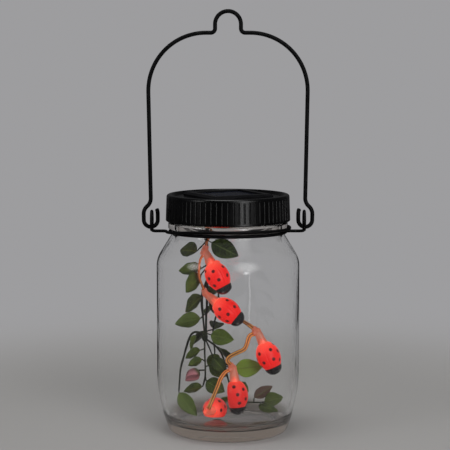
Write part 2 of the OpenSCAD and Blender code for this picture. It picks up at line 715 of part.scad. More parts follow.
module bug_shell(b) {
    color("#e3241b", 0.85) at_bug(b) difference() {
        intersection() {
            egg_solid(0, shell_length, 0);
            translate([-2 * shell_r, -belly, -1]) cube([4 * shell_r, 4 * shell_r, shell_length + 2]);
        }
        intersection() {
            egg_solid(shell_wall, shell_length - shell_wall, shell_wall);
            translate([-2 * shell_r, shell_wall - belly, -1]) cube([4 * shell_r, 4 * shell_r, shell_length + 2]);
        }
        translate([0, 0, -EPS]) cylinder(r = tail_hole_r, h = shell_wall + 2 * EPS, $fn = SMALL_FN);
        translate([0, 0, shell_length - shell_wall - EPS])
            cylinder(r = head_peg_r + fit_gap, h = shell_wall + 2 * EPS, $fn = SMALL_FN);
    }
}

module bug_head(b) {
    base_r = egg(shell_length, 0);
    color("#0e0e10") at_bug(b) intersection() {
        union() {
            translate([0, 0, shell_length]) rotate_extrude($fn = 48) polygon(concat([[0, 0]],
                [for (i = [0 : 6]) let (t = i / 6) [base_r * pow(1 - pow(t, 2.2), 0.5) + 0.4 * (1 - t), head_length * t * 0.96]],
                [[0, head_length]]));
            translate([0, 0, shell_length - shell_wall]) cylinder(r = head_peg_r, h = shell_wall + EPS, $fn = SMALL_FN);
        }
        translate([-2 * shell_r, -belly, 0]) cube([4 * shell_r, 4 * shell_r, 2 * shell_length]);
    }
}

// Solid that points from the origin along v
module along(v) {
    d = unit(v);
    rotate([0, acos(d[2]), atan2(d[1], d[0])]) children();
}

module led_sleeve(b) {
    color("#c8412f") {
        at_bug(b) difference() {
            union() {
                translate([0, 0, -sleeve_length])
                    cylinder(r1 = sleeve_tip_r, r2 = sleeve_r, h = sleeve_length - fit_gap, $fn = SMALL_FN);
                translate([0, 0, -fit_gap - EPS])
                    cylinder(r = tail_hole_r - fit_gap, h = shell_wall + fit_gap, $fn = SMALL_FN);
            }
            translate([0, 0, -3]) cylinder(d = bulb_d + 0.8 + 2 * fit_gap, h = 3 + shell_wall + 1, $fn = SMALL_FN);
        }
        translate([0, 0, cover_z]) translate(tip(b)) {
            sphere(r = sleeve_tip_r + 0.2, $fn = SMALL_FN);
            along(BUGS[b][3]) cylinder(r = boss_r, h = boss_length, $fn = SMALL_FN);
            if (b < len(BUGS) - 1) along(BUGS[b][4]) cylinder(r = boss_r, h = boss_length, $fn = SMALL_FN);
        }
    }
}

module led_bulb(b) {
    color("#ff6a4d", 0.8) at_bug(b) {
        translate([0, 0, -0.9]) cylinder(d = bulb_d + 0.8, h = 0.9, $fn = SMALL_FN);
        translate([0, 0, -EPS]) cylinder(d = bulb_d, h = bulb_length - bulb_d / 2 + EPS, $fn = SMALL_FN);
        translate([0, 0, bulb_length - bulb_d / 2]) sphere(d = bulb_d, $fn = SMALL_FN);
        for (x = [-1, 1]) translate([1.27 * x / 2, 0, -2.9]) cylinder(d = 0.5, h = 2.1, $fn = 16);
    }
}

// ---- Vine ---------------------------------------------------------------

// Stems as [radius, points]. Z is measured from the outside of the housing cover.
MAIN_STEM = [[-12.5, 2.5, -0.3], [-12.5, 2.4, -5], [-12.8, 1.8, -15], [-12.5, 1.5, -30], [-12.5, 1.5, -45],
    [-13, 1.5, -57], [-13.2, 0.5, -66], [-14, -1, -71]];
// Joint that the branches plug into
KNUCKLE = [-13.9, -0.9, -69.6];
knuckle_r = 2;
STEMS = [
    [0.75, [[-12.6, 1.4, -36], [-15.5, -0.5, -45], [-15.2, -1.5, -56], [-14, -1, -68]]],
    [0.7, [[-13.8, -0.8, -70], [-18, -3, -66.5], [-22, -5.5, -67.5], [-25, -7.5, -76], [-28, -8.5, -88],
           [-29, -9, -101]]],
    [0.6, [[-14, -1, -70.5], [-14, -3, -77], [-13.5, -5, -87], [-13.5, -7, -93], [-14.5, -8, -98]]],
    [0.55, [[-13.8, -1, -70.5], [-11, -3, -76], [-9, -5, -80.5]]],
    [0.6, [[-13.8, -0.8, -70.5], [-7, 0.5, -76], [-3, 1.5, -82.5], [-1, 3.5, -92], [1, 7, -101], [4, 9, -107.5],
           [9, 9.5, -111.5], [16, 9, -112], [22, 8, -111.5]]],
    [0.6, [[-12.6, 1.5, -24], [-9, 6, -30], [-6, 10, -40], [-6, 13, -54], [-9, 14, -68], [-8, 15, -82]]]];

// Sprays of leaves. Each leaf: where its stalk starts, where the blade starts,
// heading in plan, droop, length, width and roll of the blade.
SPRAYS = [
    [[[-12.7, 1.9, -13], [-18.5, -3.5, -18.5], -150, -12, 11.5, 11, 60],
     [[-12.6, 2.2, -7], [-9.5, -13, -12], -18, 24, 17.5, 12, 75, [-15.5, -7.5, -8.5]],
     [[-12.5, 1.5, -26], [-15.5, -3, -28], -158, 0, 15, 9.5, 65],
     [[-12.5, 1.5, -28], [-16, -4, -32], -145, 36, 15, 11, 80]],
    [[[-12.5, 1.5, -43], [-15.5, -5, -44.5], -155, 35, 14, 11, 65],
     [[-12.5, 1.5, -42], [-11, 4.5, -47], 12, 45, 17, 10, 85],
     [[-13, 1.5, -55], [-16.5, -4, -58], -168, 8, 15.5, 10, 75],
     [[-12.5, 1.5, -33], [-6, 5, -37], 16, 28, 9, 6, 50]],
    [[[-13.5, 0, -67.5], [-10, -3.5, -68], -21, 9, 14, 10, 80],
     [[-18, -3, -66.5], [-19, -7, -68], -120, 41, 11, 7.5, 80],
     [[-14, -2.9, -76.5], [-16.5, -5, -77], -152, 17, 11, 7.5, 65],
     [[-13.7, -4.5, -84], [-15.5, -5, -82.5], -170, 20, 9, 6.5, 70],
     [[-9, -5, -80.5], [-8.6, -5.6, -81.6], -29, 45, 11.5, 8, 70]],
    [[[-13.5, -5, -87], [-11, -4, -86.5], -10, 30, 12, 8.5, 60],
     [[-14.5, -8, -98], [-15.3, -8.5, -98.5], -156, 4, 12.5, 7, 70],
     [[-13.6, -6.5, -92], [-12.7, -10.5, -94.8], -25, 24, 12.5, 10, 65],
     [[-29, -9, -101], [-28.8, -9.2, -102], -25, 50, 17, 9, 75]],
    [[[-2, 2.6, -88], [4.5, 0, -89.5], -11, -8, 16.5, 11, 85],
     [[0.3, 5.6, -98], [6, 2.5, -99], 15, 35, 9, 6.5, 60],
     [[4, 9, -107.5], [3.2, 10.5, -109.5], -200, 20, 12, 7.5, 30],
     [[16, 9, -112], [16.5, 11.5, -109.5], 8, -33, 13, 7, 60],
     [[22, 8, -111.5], [22.2, 7.5, -111.5], -25, -20, 12.5, 9.5, 70],
     [[20, 8.3, -111.7], [18.5, 4, -113.2], -30, 4, 13, 6.5, 50]],
    [[[-6.2, 10, -41], [-7, 13, -42], 115, 25, 14, 8.5, 20],
     [[-6, 13, -52], [-8.5, 16, -53], 120, 30, 14, 8.5, -10],
     [[-8, 13.7, -63], [-6, 16.5, -64], 100, 20, 15, 9, 15],
     [[-9, 14, -68], [-12.5, 15.5, -69], 150, 35, 14, 8.5, 20],
     [[-8.3, 14.7, -78], [-5, 17.5, -80], 60, 35, 13, 8.5, 10],
     [[-8, 15, -82], [-8.2, 15.4, -83.3], 100, 55, 14, 8.5, 0]]];
BUDS = [[[-13.6, -5.6, -89], [-17, -12.5, -87.5], -160, 35, 1], [[-2.2, 2.4, -86.5], [1.5, -4.5, -86.5], -60, 30, 0.35]];

LAID_SPRAYS = [for (spray = SPRAYS) [for (f = spray) concat([hang(f[0]), hang(f[1])],
    [for (i = [2 : 6]) f[i]], len(f) > 7 ? [hang(f[7])] : [])]];
LAID_BUDS = [for (b = BUDS) concat([hang(b[0]), hang(b[1])], [for (i = [2 : 4]) b[i]])];

function leaf_axis(az, droop) = [cos(az) * cos(droop), sin(az) * cos(droop), -sin(droop)];
leaf_rows = 6;

// Blade: a thin sheet, widest before its middle, folded along its rib and bent down
module leaf(f) {
    u = leaf_axis(f[2], f[3]);
    flat = [-sin(f[2]), cos(f[2]), 0];
    s = cos(f[6]) * flat + sin(f[6]) * cross(u, flat);
    n = cross(u, s);
    top = [for (i = [0 : leaf_rows], k = [-1 : 1]) let (
        t = i / leaf_rows,
        half = f[5] / 2 * max(0.09, pow(sin(180 * pow(t, 0.8)), 0.8)),
        bend = f[4] * 0.12 * t * t)
        f[1] + t * f[4] * u + k * half * s + (0.28 * abs(k) * half - bend) * n];
    low = [for (p = top) p - leaf_t * n];
    m = len(top);
    faces = concat(
        [for (i = [0 : leaf_rows - 1], k = [0, 1]) [i * 3 + k, i * 3 + k + 1, i * 3 + k + 4, i * 3 + k + 3]],
        [for (i = [0 : leaf_rows - 1], k = [0, 1])
            [m + i * 3 + k + 3, m + i * 3 + k + 4, m + i * 3 + k + 1, m + i * 3 + k]],
        [for (i = [0 : leaf_rows - 1]) [i * 3, i * 3 + 3, m + i * 3 + 3, m + i * 3]],
        [for (i = [0 : leaf_rows - 1]) [i * 3 + 5, i * 3 + 2, m + i * 3 + 2, m + i * 3 + 5]],
        [for (k = [0, 1]) [k + 1, k, m + k, m + k + 1]],
        [for (k = [0, 1]) [3 * leaf_rows + k, 3 * leaf_rows + k + 1, m + 3 * leaf_rows + k + 1, m + 3 * leaf_rows + k]]);
    polyhedron(top_and(top, low), [for (q = faces) [q[3], q[2], q[1], q[0]]]);
}
function top_and(a, b) = concat(a, b);

// Stalk from a stem to just short of what it carries, straight or by one point on the way
stalk_gap = 0.2;
module stalk(points, r) {
    for (i = [0 : len(points) - 2]) hull() {
        translate(points[i]) sphere(r, $fn = 6);
        translate(points[i + 1]) sphere(r, $fn = 6);
    }
}
function stalk_points(f, r) = let (last = f[1] - (stalk_gap + r) * leaf_axis(f[2], f[3]))
    len(f) > 7 ? [f[0], f[7], last] : [f[0], last];

module vine_stem() {
    color("#2a2a1c") translate([0, 0, cover_z]) {
        tube([for (p = MAIN_STEM) hang(p)], [stem_r, stem_r], [0, 1, 0]);
        for (s = STEMS) tube([for (p = s[1]) hang(p)], [s[0], s[0]], [0.1, 1, 0.1], 6);
        translate(hang(KNUCKLE)) scale([1, 1, 1.6]) sphere(knuckle_r, $fn = 16);
        for (spray = LAID_SPRAYS, f = spray) stalk(stalk_points(f, 0.45), 0.45);
        for (b = LAID_BUDS) stalk(stalk_points(b, 0.5), 0.5);
    }
}

module vine_leaves(i) {
    color(i == 4 ? "#5a3f34" : "#2f5a22") translate([0, 0, cover_z]) for (f = LAID_SPRAYS[i]) leaf(f);
}

module vine_buds() {
    color("#c0577f") translate([0, 0, cover_z]) for (b = LAID_BUDS)
        translate(b[1]) along(leaf_axis(b[2], b[3])) scale(b[4]) rotate_extrude($fn = 24)
            polygon([for (i = [0 : 9]) let (t = i / 9)
                [bud_r * pow(sin(180 * pow(t, 0.75)), 0.8), 2.6 * bud_r * t]]);
}

// ---- Parts --------------------------------------------------------------

glass_jar();
neck_wire();
bail_handle();
lid_gasket();
lid_cap();
panel_frame();
solar_cell();
panel_resin();
panel_backing();
battery_housing();
housing_cover();
cover_screws();
circuit_board();
controller_chip();
inductor();
battery_cell();
battery_clips();
panel_leads();
switch_body();
switch_slider();
cable_grommet();
for (b = [0 : len(BUG_NAMES) - 1]) {
    light_wire(b);
    led_sleeve(b);
    led_bulb(b);
    bug_shell(b);
    bug_head(b);
}
vine_stem();
for (i = [0 : len(SPRAY_NAMES) - 1])
    vine_leaves(i);
vine_buds();
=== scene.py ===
# %% [markdown]
# # Jar lantern with ladybug lights
# A screw-top glass jar hangs in a wire bail. Its lid carries a solar panel and, below, the
# battery and the switch. A string of five ladybug lights and an artificial vine hang from it.
# The measured model is loaded first, as a frame that nothing here moves: each new surface
# lies where the measured solid lies, and takes its place for the eye only.

# %% The frame
import bpy
import numpy as np
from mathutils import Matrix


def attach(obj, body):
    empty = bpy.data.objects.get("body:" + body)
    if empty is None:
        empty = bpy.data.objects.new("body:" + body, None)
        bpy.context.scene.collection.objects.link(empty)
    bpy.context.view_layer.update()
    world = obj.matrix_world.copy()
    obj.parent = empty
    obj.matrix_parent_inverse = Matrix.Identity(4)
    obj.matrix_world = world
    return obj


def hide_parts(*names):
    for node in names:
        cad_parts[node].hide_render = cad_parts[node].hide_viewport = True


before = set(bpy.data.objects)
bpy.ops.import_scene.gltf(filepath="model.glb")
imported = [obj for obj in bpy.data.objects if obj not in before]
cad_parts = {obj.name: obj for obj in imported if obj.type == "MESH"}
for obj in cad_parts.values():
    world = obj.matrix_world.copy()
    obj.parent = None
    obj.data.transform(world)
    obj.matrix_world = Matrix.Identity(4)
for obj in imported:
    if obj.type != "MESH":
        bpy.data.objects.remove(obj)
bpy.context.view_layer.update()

MM = 0.001

# %% [markdown]
# The camera looks slightly down on the lantern from almost a metre away, with a long lens, so
# the jar's sides stay nearly parallel. A long lens close to the floor would do too, but the
# top of the lid has to show as a thin ellipse, which sets the height.

# %% Camera
PITCH = np.radians(6.5)
PIXELS = 450
camera_data = bpy.data.cameras.new("camera")
camera_data.sensor_width = 36
camera_data.lens = 1616 / PIXELS * 36
camera_data.shift_x = -3 / PIXELS
camera = bpy.data.objects.new("camera", camera_data)
camera.location = (0, -0.955, 0.233)
camera.rotation_euler = (np.pi / 2 - PITCH, 0, 0)
bpy.context.scene.collection.objects.link(camera)
bpy.context.scene.camera = camera
bpy.context.scene.view_settings.view_transform = "Standard"
print("lens", round(camera_data.lens, 1), "mm")

# %% [markdown]
# Every new surface starts as a grid of points: a row index, a column index and three
# coordinates. One helper turns such an array into a mesh. Rows that shrink to a point, or
# columns that meet, are welded afterwards, so that poles and seams are closed.

# %% Grids to meshes
import bmesh


def grid_faces(rows, cols, closed):
    """Quads of a grid: each joins point (i, j) with (i, j+1), (i+1, j+1) and (i+1, j). In a
    closed grid the last column joins the first."""
    i = np.arange(rows - 1)[:, None] * cols
    j = np.arange(cols if closed else cols - 1)[None, :]
    j1 = (j + 1) % cols
    return np.stack([i + j, i + j1, i + cols + j1, i + cols + j], -1).reshape(-1, 4)


def mesh_piece(name, grids, weld=2e-6, smooth_angle=None, marks=None, closed=True):
    """Object made of one or more grids of points. marks are named arrays with a number or a
    vector per point, which a material can read."""
    points, faces, start = [], [], 0
    for grid in grids:
        rows, cols = grid.shape[:2]
        faces.append(grid_faces(rows, cols, closed) + start)
        points.append(grid.reshape(-1, 3))
        start += rows * cols
    mesh = bpy.data.meshes.new(name)
    mesh.from_pydata(np.concatenate(points), [], np.concatenate(faces))
    for mark, values in (marks or {}).items():
        values = np.asarray(values, dtype=np.float32)
        kind = "FLOAT" if values.ndim == 1 else "FLOAT_VECTOR"
        layer = mesh.attributes.new(mark, kind, "POINT")
        layer.data.foreach_set("value" if values.ndim == 1 else "vector", values.ravel())
    work = bmesh.new()
    work.from_mesh(mesh)
    bmesh.ops.remove_doubles(work, verts=work.verts, dist=weld)
    bmesh.ops.recalc_face_normals(work, faces=work.faces)
    work.to_mesh(mesh)
    work.free()
    mesh.shade_smooth()
    if smooth_angle:
        mesh.set_sharp_from_angle(angle=np.radians(smooth_angle))
    piece = bpy.data.objects.new(name, mesh)
    bpy.context.scene.collection.objects.link(piece)
    print(name, len(mesh.vertices), "points")
    return piece


# %% [markdown]
# Most pieces here are an outline carried round an axis, or a ring carried along a path. The
# Screw modifier and a bevelled curve could make both. As formulas, their points can also be
# marked for a finish, pushed in or out, and joined with other grids.

# %% Turned and drawn shapes
def circle(count):
    """Angles of points that are spread evenly round a circle."""
    return np.linspace(0, 2 * np.pi, count, endpoint=False)


def arc(cx, cz, radius, start, end, count):
    """Points (r, z) on a circle about (cx, cz): centre plus radius times cosine and sine."""
    a = np.radians(np.linspace(start, end, count + 1))
    return np.stack([cx + radius * np.cos(a), cz + radius * np.sin(a)], -1)


def revolve(profile, count):
    """Grid from a profile (r, z) in millimetres: x = r cos a, y = r sin a, z stays."""
    a = circle(count)
    r, z = profile[:, 0:1], profile[:, 1:2]
    return np.stack([r * np.cos(a), r * np.sin(a), z + 0 * a], -1) * MM


def along(points, spacing):
    """Smooth curve through given points (Catmull-Rom), about spacing apart in millimetres:
    each span blends its two ends and their neighbours with cubic weights."""
    p = np.asarray(points, float)
    ext = np.vstack([2 * p[0] - p[1], p, 2 * p[-1] - p[-2]])
    out = []
    for a, b, c, d in zip(ext[:-3], ext[1:-2], ext[2:-1], ext[3:]):
        n = max(2, int(np.ceil(np.linalg.norm(c - b) / spacing)))
        t = np.linspace(0, 1, n, endpoint=False)[:, None]
        out.append(b + 0.5 * t * ((c - a) + t * ((2 * a - 5 * b + 4 * c - d) + t * (3 * b - a - 3 * c + d))))
    return np.vstack(out + [p[-1:]])


def frames(path, first):
    """Tangent, side and up vectors along a path. The side vector is carried from point to
    point and made square to the tangent again, so the tube doesn't twist."""
    tangent = np.gradient(path, axis=0)
    tangent /= np.linalg.norm(tangent, axis=1, keepdims=True)
    side = np.empty_like(tangent)
    s = np.asarray(first, float)
    for i, t in enumerate(tangent):
        s = s - (s @ t) * t
        s = s / np.linalg.norm(s)
        side[i] = s
    return tangent, side, np.cross(tangent, side)


def tube(path, radius, first=(0, 0, 1), sides=20, cap=0.6):
    """Grid of a round wire: path + radius (side cos a + up sin a). The ends close in a dome.
    radius is one number or one per point."""
    path = np.asarray(path, float)
    tangent, side, up = frames(path, first)
    radius = np.broadcast_to(np.asarray(radius, float), len(path))
    q = np.radians([0, 22, 45, 67])
    dome = cap * (1 - np.cos(q))[:, None]
    head = path[0] + radius[0] * dome * tangent[0]
    tail = path[-1] - radius[-1] * dome[::-1] * tangent[-1]
    centre = np.vstack([head, path[1:-1], tail])
    rr = np.concatenate([radius[0] * np.sin(q), radius[1:-1], radius[-1] * np.sin(q[::-1])])
    rows = np.r_[[0] * len(q), 1:len(path) - 1, [-1] * len(q)]
    a = circle(sides)[:, None]
    ring = side[rows, None] * np.cos(a) + up[rows, None] * np.sin(a)
    return (centre[:, None] + rr[:, None, None] * ring) * MM


# %% [markdown]
# Materials are sums and masks on surface coordinates. Wrapping a socket in a small class lets
# those be written as ordinary expressions: `1 - mask * 0.3` adds two Math nodes. Colours go
# through Mix nodes, because a Math node would turn them grey.

# %% Shader maths
from functools import partialmethod


class Val:
    """A material socket that can stand in a sum. Each sign adds one Math node."""

    def __init__(self, nodes, socket):
        self.nodes, self.socket = nodes, socket

    def maths(self, operation, *others):
        """Math node on this value and the others, in that order."""
        return self.nodes.add("ShaderNodeMath", {"operation": operation}, dict(enumerate((self, *others))))

    def after(self, operation, first):
        """Math node in which this value comes second."""
        return self.nodes.add("ShaderNodeMath", {"operation": operation}, {0: first, 1: self})

    def __abs__(self):
        return self.maths("ABSOLUTE")


SIGNS = {"add": "ADD", "sub": "SUBTRACT", "mul": "MULTIPLY", "truediv": "DIVIDE", "pow": "POWER",
         "lt": "LESS_THAN", "gt": "GREATER_THAN"}
for sign, operation in SIGNS.items():
    setattr(Val, f"__{sign}__", partialmethod(Val.maths, operation))
    setattr(Val, f"__r{sign}__", partialmethod(Val.after, operation))


class Nodes:
    """The node tree of a material, a lamp or the world, being built."""

    def __init__(self, tree):
        self.tree = tree

    def add(self, kind, settings=None, inputs=None, out=0):
        """One node of any type. Settings come first, then values or links of its sockets."""
        node = self.tree.nodes.new(kind)
        for key, value in (settings or {}).items():
            setattr(node, key, value)
        for key, value in (inputs or {}).items():
            if isinstance(value, Val):
                self.tree.links.new(value.socket, node.inputs[key])
            else:
                node.inputs[key].default_value = value
        return Val(self, node.outputs[out])

    def place(self):
        """Point on the surface, in metres from the origin."""
        return self.add("ShaderNodeTexCoord", out=3)

    def mark(self, name, out=1):
        """A number or vector that the mesh stores per point: out 2 is the number."""
        return self.add("ShaderNodeAttribute", {"attribute_name": name}, out=out)

    def noise(self, scale, detail=3.0, rough=0.5, at=None):
        """Soft random pattern. A scale of 100 has patches of about a centimetre."""
        return self.add("ShaderNodeTexNoise", None, {"Vector": at or self.place(), "Scale": scale,
                                                     "Detail": detail, "Roughness": rough})

    def mix(self, mask, a, b):
        """Colour a where the mask is 0 and b where it is 1."""
        a = (*a, 1) if isinstance(a, tuple) else a
        b = (*b, 1) if isinstance(b, tuple) else b
        return self.add("ShaderNodeMix", {"data_type": "RGBA"}, {0: mask, 6: a, 7: b}, out=2)

    def ramp(self, value, low, high):
        """0 below low, 1 above high, and smooth in between."""
        return self.add("ShaderNodeMapRange", {"interpolation_type": "SMOOTHSTEP"},
                        {"Value": value, "From Min": low, "From Max": high})

    def bump(self, height, strength, distance):
        """Surface that looks raised by height times distance, in metres."""
        return self.add("ShaderNodeBump", None,
                        {"Height": height, "Strength": strength, "Distance": distance})

    def split(self, vector=None):
        """x, y and z of a vector, or of the point itself, as three values."""
        node = self.add("ShaderNodeSeparateXYZ", None, {0: vector or self.place()}).socket.node
        return [Val(self, node.outputs[i]) for i in range(3)]

    def ray(self, kind):
        """1 for a ray of one kind, such as "Shadow", and 0 for any other."""
        return self.add("ShaderNodeLightPath", out=f"Is {kind} Ray")


# %% [markdown]
# A finish is one Principled shader and what feeds it. Clear pieces get a second, transparent
# shader that shadow and diffuse rays meet: clear plastic and glass let light by, and a
# renderer finds that light much sooner along a straight way.

# %% Finishes
class Finish(Nodes):
    """A material being built: one Principled shader, and the nodes that feed it."""

    def __init__(self, name, **constants):
        self.material = bpy.data.materials.new(name)
        self.material.use_nodes = True
        super().__init__(self.material.node_tree)
        self.shader = self.tree.nodes["Principled BSDF"]
        self.output = self.tree.nodes["Material Output"]
        for key, value in constants.items():
            self.shader.inputs[key.replace("_", " ")].default_value = value
        print("finish", name)

    def feed(self, **links):
        """Links values to sockets of the shader, whose names have _ for a space."""
        for key, value in links.items():
            self.tree.links.new(value.socket, self.shader.inputs[key.replace("_", " ")])

    def blend(self, mask, kind, colour):
        """Where the mask is 1, a second shader of this kind and colour takes over."""
        first, second = Val(self, self.shader.outputs[0]), self.add(kind, None, {0: colour})
        both = self.add("ShaderNodeMixShader", None, {0: mask, 1: first, 2: second})
        self.tree.links.new(both.socket, self.output.inputs[0])

    def see_through(self):
        """Shadow and diffuse rays pass straight through, as they nearly do in thin glass, but
        less so where they graze it, which keeps a faint outline in the shadow."""
        either = self.ray("Shadow").maths("MAXIMUM", self.ray("Diffuse"))
        edge = self.add("ShaderNodeLayerWeight", None, {"Blend": 0.5}, out=1)
        self.blend(either * (0.97 - 0.75 * edge ** 3), "ShaderNodeBsdfTransparent", (0.975, 0.98, 0.98, 1))


def dress(piece, finish, body, replaces):
    """Gives a piece its finish and its body, and hides the measured nodes that it stands for."""
    piece.data.materials.append(finish.material)
    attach(piece, body)
    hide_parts(*replaces)


def paint_node(finish, *names):
    """Gives measured nodes a finish and leaves their shape alone."""
    for name in names:
        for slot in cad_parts[name].material_slots:
            slot.material = finish.material


# %% [markdown]
# The five ladybugs share one shape, so each is a place: where its tail is, where its nose
# points, and how it is rolled. The lead enters and leaves the sleeve behind each tail in two
# directions. These are the numbers of the measured model, in millimetres below the cover of
# the battery housing.

# %% Places of the bugs
COVER_Z = 126.8
SLEEVE, BOSS, STRAIGHT = 8.0, 3.0, 3.0
BUGS = [
    ((-10, -9, -24.5), (-1, -11, -41.5), 140, (0.25, 0.2, 0.95), (-0.45, -0.2, -0.87)),
    ((-7, -8, -47.5), (8.5, -11, -59.5), 150, (-0.35, -0.1, 0.93), (0.3, 0.75, -0.6)),
    ((20.5, -10, -72), (29, -12, -91.5), 175, (-0.8, 0.2, 0.55), (-0.8, -0.3, -0.5)),
    ((4, -12, -94.5), (6, -14, -115), 55, (-0.6, -0.2, 0.77), (-0.85, -0.35, -0.4)),
    ((-10, -12, -112), (-5, 6, -114.5), 90, (0.3, -0.5, 0.8), None)]
ROUTES = [
    [(-10.5, -6.5, -8)],
    [(-17, -9.5, -27), (-17, -8.8, -32.5)],
    [(-8, 0.5, -49), (-3, 2, -53.5), (3, 2, -57), (8.5, -1, -60), (12, -5, -61.5)],
    [(10, -12.5, -74.5), (5.5, -13, -77), (1, -12.5, -79.5)],
    [(-4.5, -15.5, -92.5), (-6.5, -18, -97.5)]]
LIFT = np.array([0, 0, COVER_Z])


def unit(v):
    """A vector divided by its length."""
    return np.asarray(v, float) / np.linalg.norm(v)


def bug_axis(b):
    """Direction from tail to nose."""
    return unit(np.subtract(BUGS[b][1], BUGS[b][0]))


def tip(b):
    """Point where the lead meets the sleeve."""
    return np.array(BUGS[b][0]) - SLEEVE * bug_axis(b)


def turn(axis, angle):
    """Rotation matrix about axis 0, 1 or 2: cosine twice, and sine with either sign."""
    i, j = (axis + 1) % 3, (axis + 2) % 3
    matrix = np.eye(3)
    matrix[i, i] = matrix[j, j] = np.cos(angle)
    matrix[j, i], matrix[i, j] = np.sin(angle), -np.sin(angle)
    return matrix


def bug_turn(b):
    """Rotation from the bug's own frame (z to the nose, y out of the back) to the row's:
    roll about z, lean about y, then heading about z."""
    d = bug_axis(b)
    roll, lean, head = np.radians(BUGS[b][2]), np.arccos(d[2]), np.arctan2(d[1], d[0])
    return turn(2, head) @ turn(1, lean) @ turn(2, roll)


def bug_place(points, b):
    """Points in the bug's frame, in millimetres, moved to the lantern, in metres."""
    return (points @ bug_turn(b).T + np.array(BUGS[b][0]) + LIFT) * MM


print("tails", [float(round(b[0][2] + COVER_Z, 1)) for b in BUGS], "mm up")

# %% [markdown]
# The lead is a twin flex: two fine copper strands side by side in clear insulation. A round
# tube would lose the groove between them, so the section is a figure of eight, carried along
# a smooth curve through the listed points. Each stretch is straight for a few millimetres
# where it leaves a sleeve.

# %% Twin lead
LEAD_EXIT = np.array([-10, -5, -0.9])


def lead_end(b, way):
    """End of a stretch, one boss length from the sleeve's tip. way 3 arrives and 4 leaves."""
    return tip(b) + BOSS * unit(BUGS[b][way])


def lead_route(b):
    """Points of one stretch: end, straight bit, free points, straight bit, end."""
    start, leave = LEAD_EXIT, np.array([0, 0, -1.0])
    if b > 0:
        start, leave = lead_end(b - 1, 4), unit(BUGS[b - 1][4])
    end, arrive = lead_end(b, 3), unit(BUGS[b][3])
    return np.vstack([start, start + STRAIGHT * leave, *ROUTES[b], end + STRAIGHT * arrive, end]) + LIFT


def twin_section(half_width, half_height, count=28):
    """Figure of eight: an ellipse whose height is drawn in near its middle."""
    a = circle(count)
    waist = 1 - 0.45 * np.exp(-(np.cos(a) / 0.33) ** 2)
    return np.stack([half_width * np.cos(a), half_height * np.sin(a) * waist], -1), np.cos(a)


copper = Finish("clear_insulated_copper", Roughness=0.22, IOR=1.5, Specular_IOR_Level=0.35,
                Emission_Strength=0.45)
across, painted_red_glow = copper.mark("across", out=2), copper.mark("lit", out=2)
strand = copper.ramp(abs(abs(across) - 0.56), 0.34, 0.14)
twist = copper.add("ShaderNodeTexWave", {"wave_type": "BANDS"},
                   {"Vector": copper.place(), "Scale": 480.0, "Distortion": 2.0})
wire = copper.mix(strand * (0.75 + 0.25 * twist), (0.09, 0.052, 0.024), (0.66, 0.31, 0.055))
# The emission is a painted red glow: light from the bug lamps, painted on the lead near each tail.
copper.feed(Base_Color=wire, Emission_Color=copper.mix(painted_red_glow, (0.0, 0.0, 0.0), (0.75, 0.09, 0.02)),
            Normal=copper.bump(strand, 0.3, 0.0002))

# The string is one lead: each stretch goes on through the joint in a sleeve to the next.
stretches = [along(lead_route(b), 0.8) for b in range(5)]
through = [np.vstack([stretch, tip(b) + LIFT]) for b, stretch in enumerate(stretches[:-1])]
path = np.vstack(through + stretches[-1:])
path = path[np.append(True, np.linalg.norm(np.diff(path, axis=0), axis=1) > 0.05)]
section, cosine = twin_section(1.3, 0.65)
tangent, side, up = frames(path, (0.2, 1, 0.1))
ring = path[:, None] + side[:, None] * section[:, 0:1] + up[:, None] * section[:, 1:2]
ends = [np.repeat(path[i][None, None], len(section), 1) for i in (0, -1)]
# Strength of the painted red glow on the lead: full within 6 mm of a tail, then fading.
from_tail = np.linalg.norm(path[:, None] - (np.array([b[0] for b in BUGS]) + LIFT), axis=-1).min(1)
lit = np.exp(-np.maximum(from_tail - 6, 0) / 5)
rows = [0, *range(len(path)), -1]
marks = {"across": np.tile(cosine, len(rows)), "lit": np.repeat(lit[rows], len(section))}
lead = mesh_piece("twin_lead", [np.concatenate([ends[0], ring, ends[1]]) * MM], marks=marks)
dress(lead, copper, "lid", [f"light_wire_{n}" for n in range(1, 6)])

# %% [markdown]
# The jar is pressed glass, so its outline can be turned on a lathe: up the outside, over the
# lip and down the inside, in arcs that meet without a corner. A jar without a screw thread
# would look wrong as soon as the lid comes off, so the outline has rows for that too.

# %% Glass jar
BODY_R, WALL, FLOOR, RIM_Z = 42.5, 2.9, 7.0, 138.5
HEEL_R, HEEL_H, EDGE_R, CORNER_R = 100.0, 38.0, 4.5, 9.0
SHOULDER_R, LEAN = 15.0, 31.6
NECK_R, GROOVE_Z, BEAD_LOW, BEAD_TOP, BEAD_R = 33.3, 119.2, 121.9, 126.7, 35.5
FINISH_R, MOUTH_R, LIP_R, BEAD_EDGE = 33.6, 30.2, 1.2, 1.4
HOLLOW, SCREW_ROWS, AROUND = 2.0, 44, 192


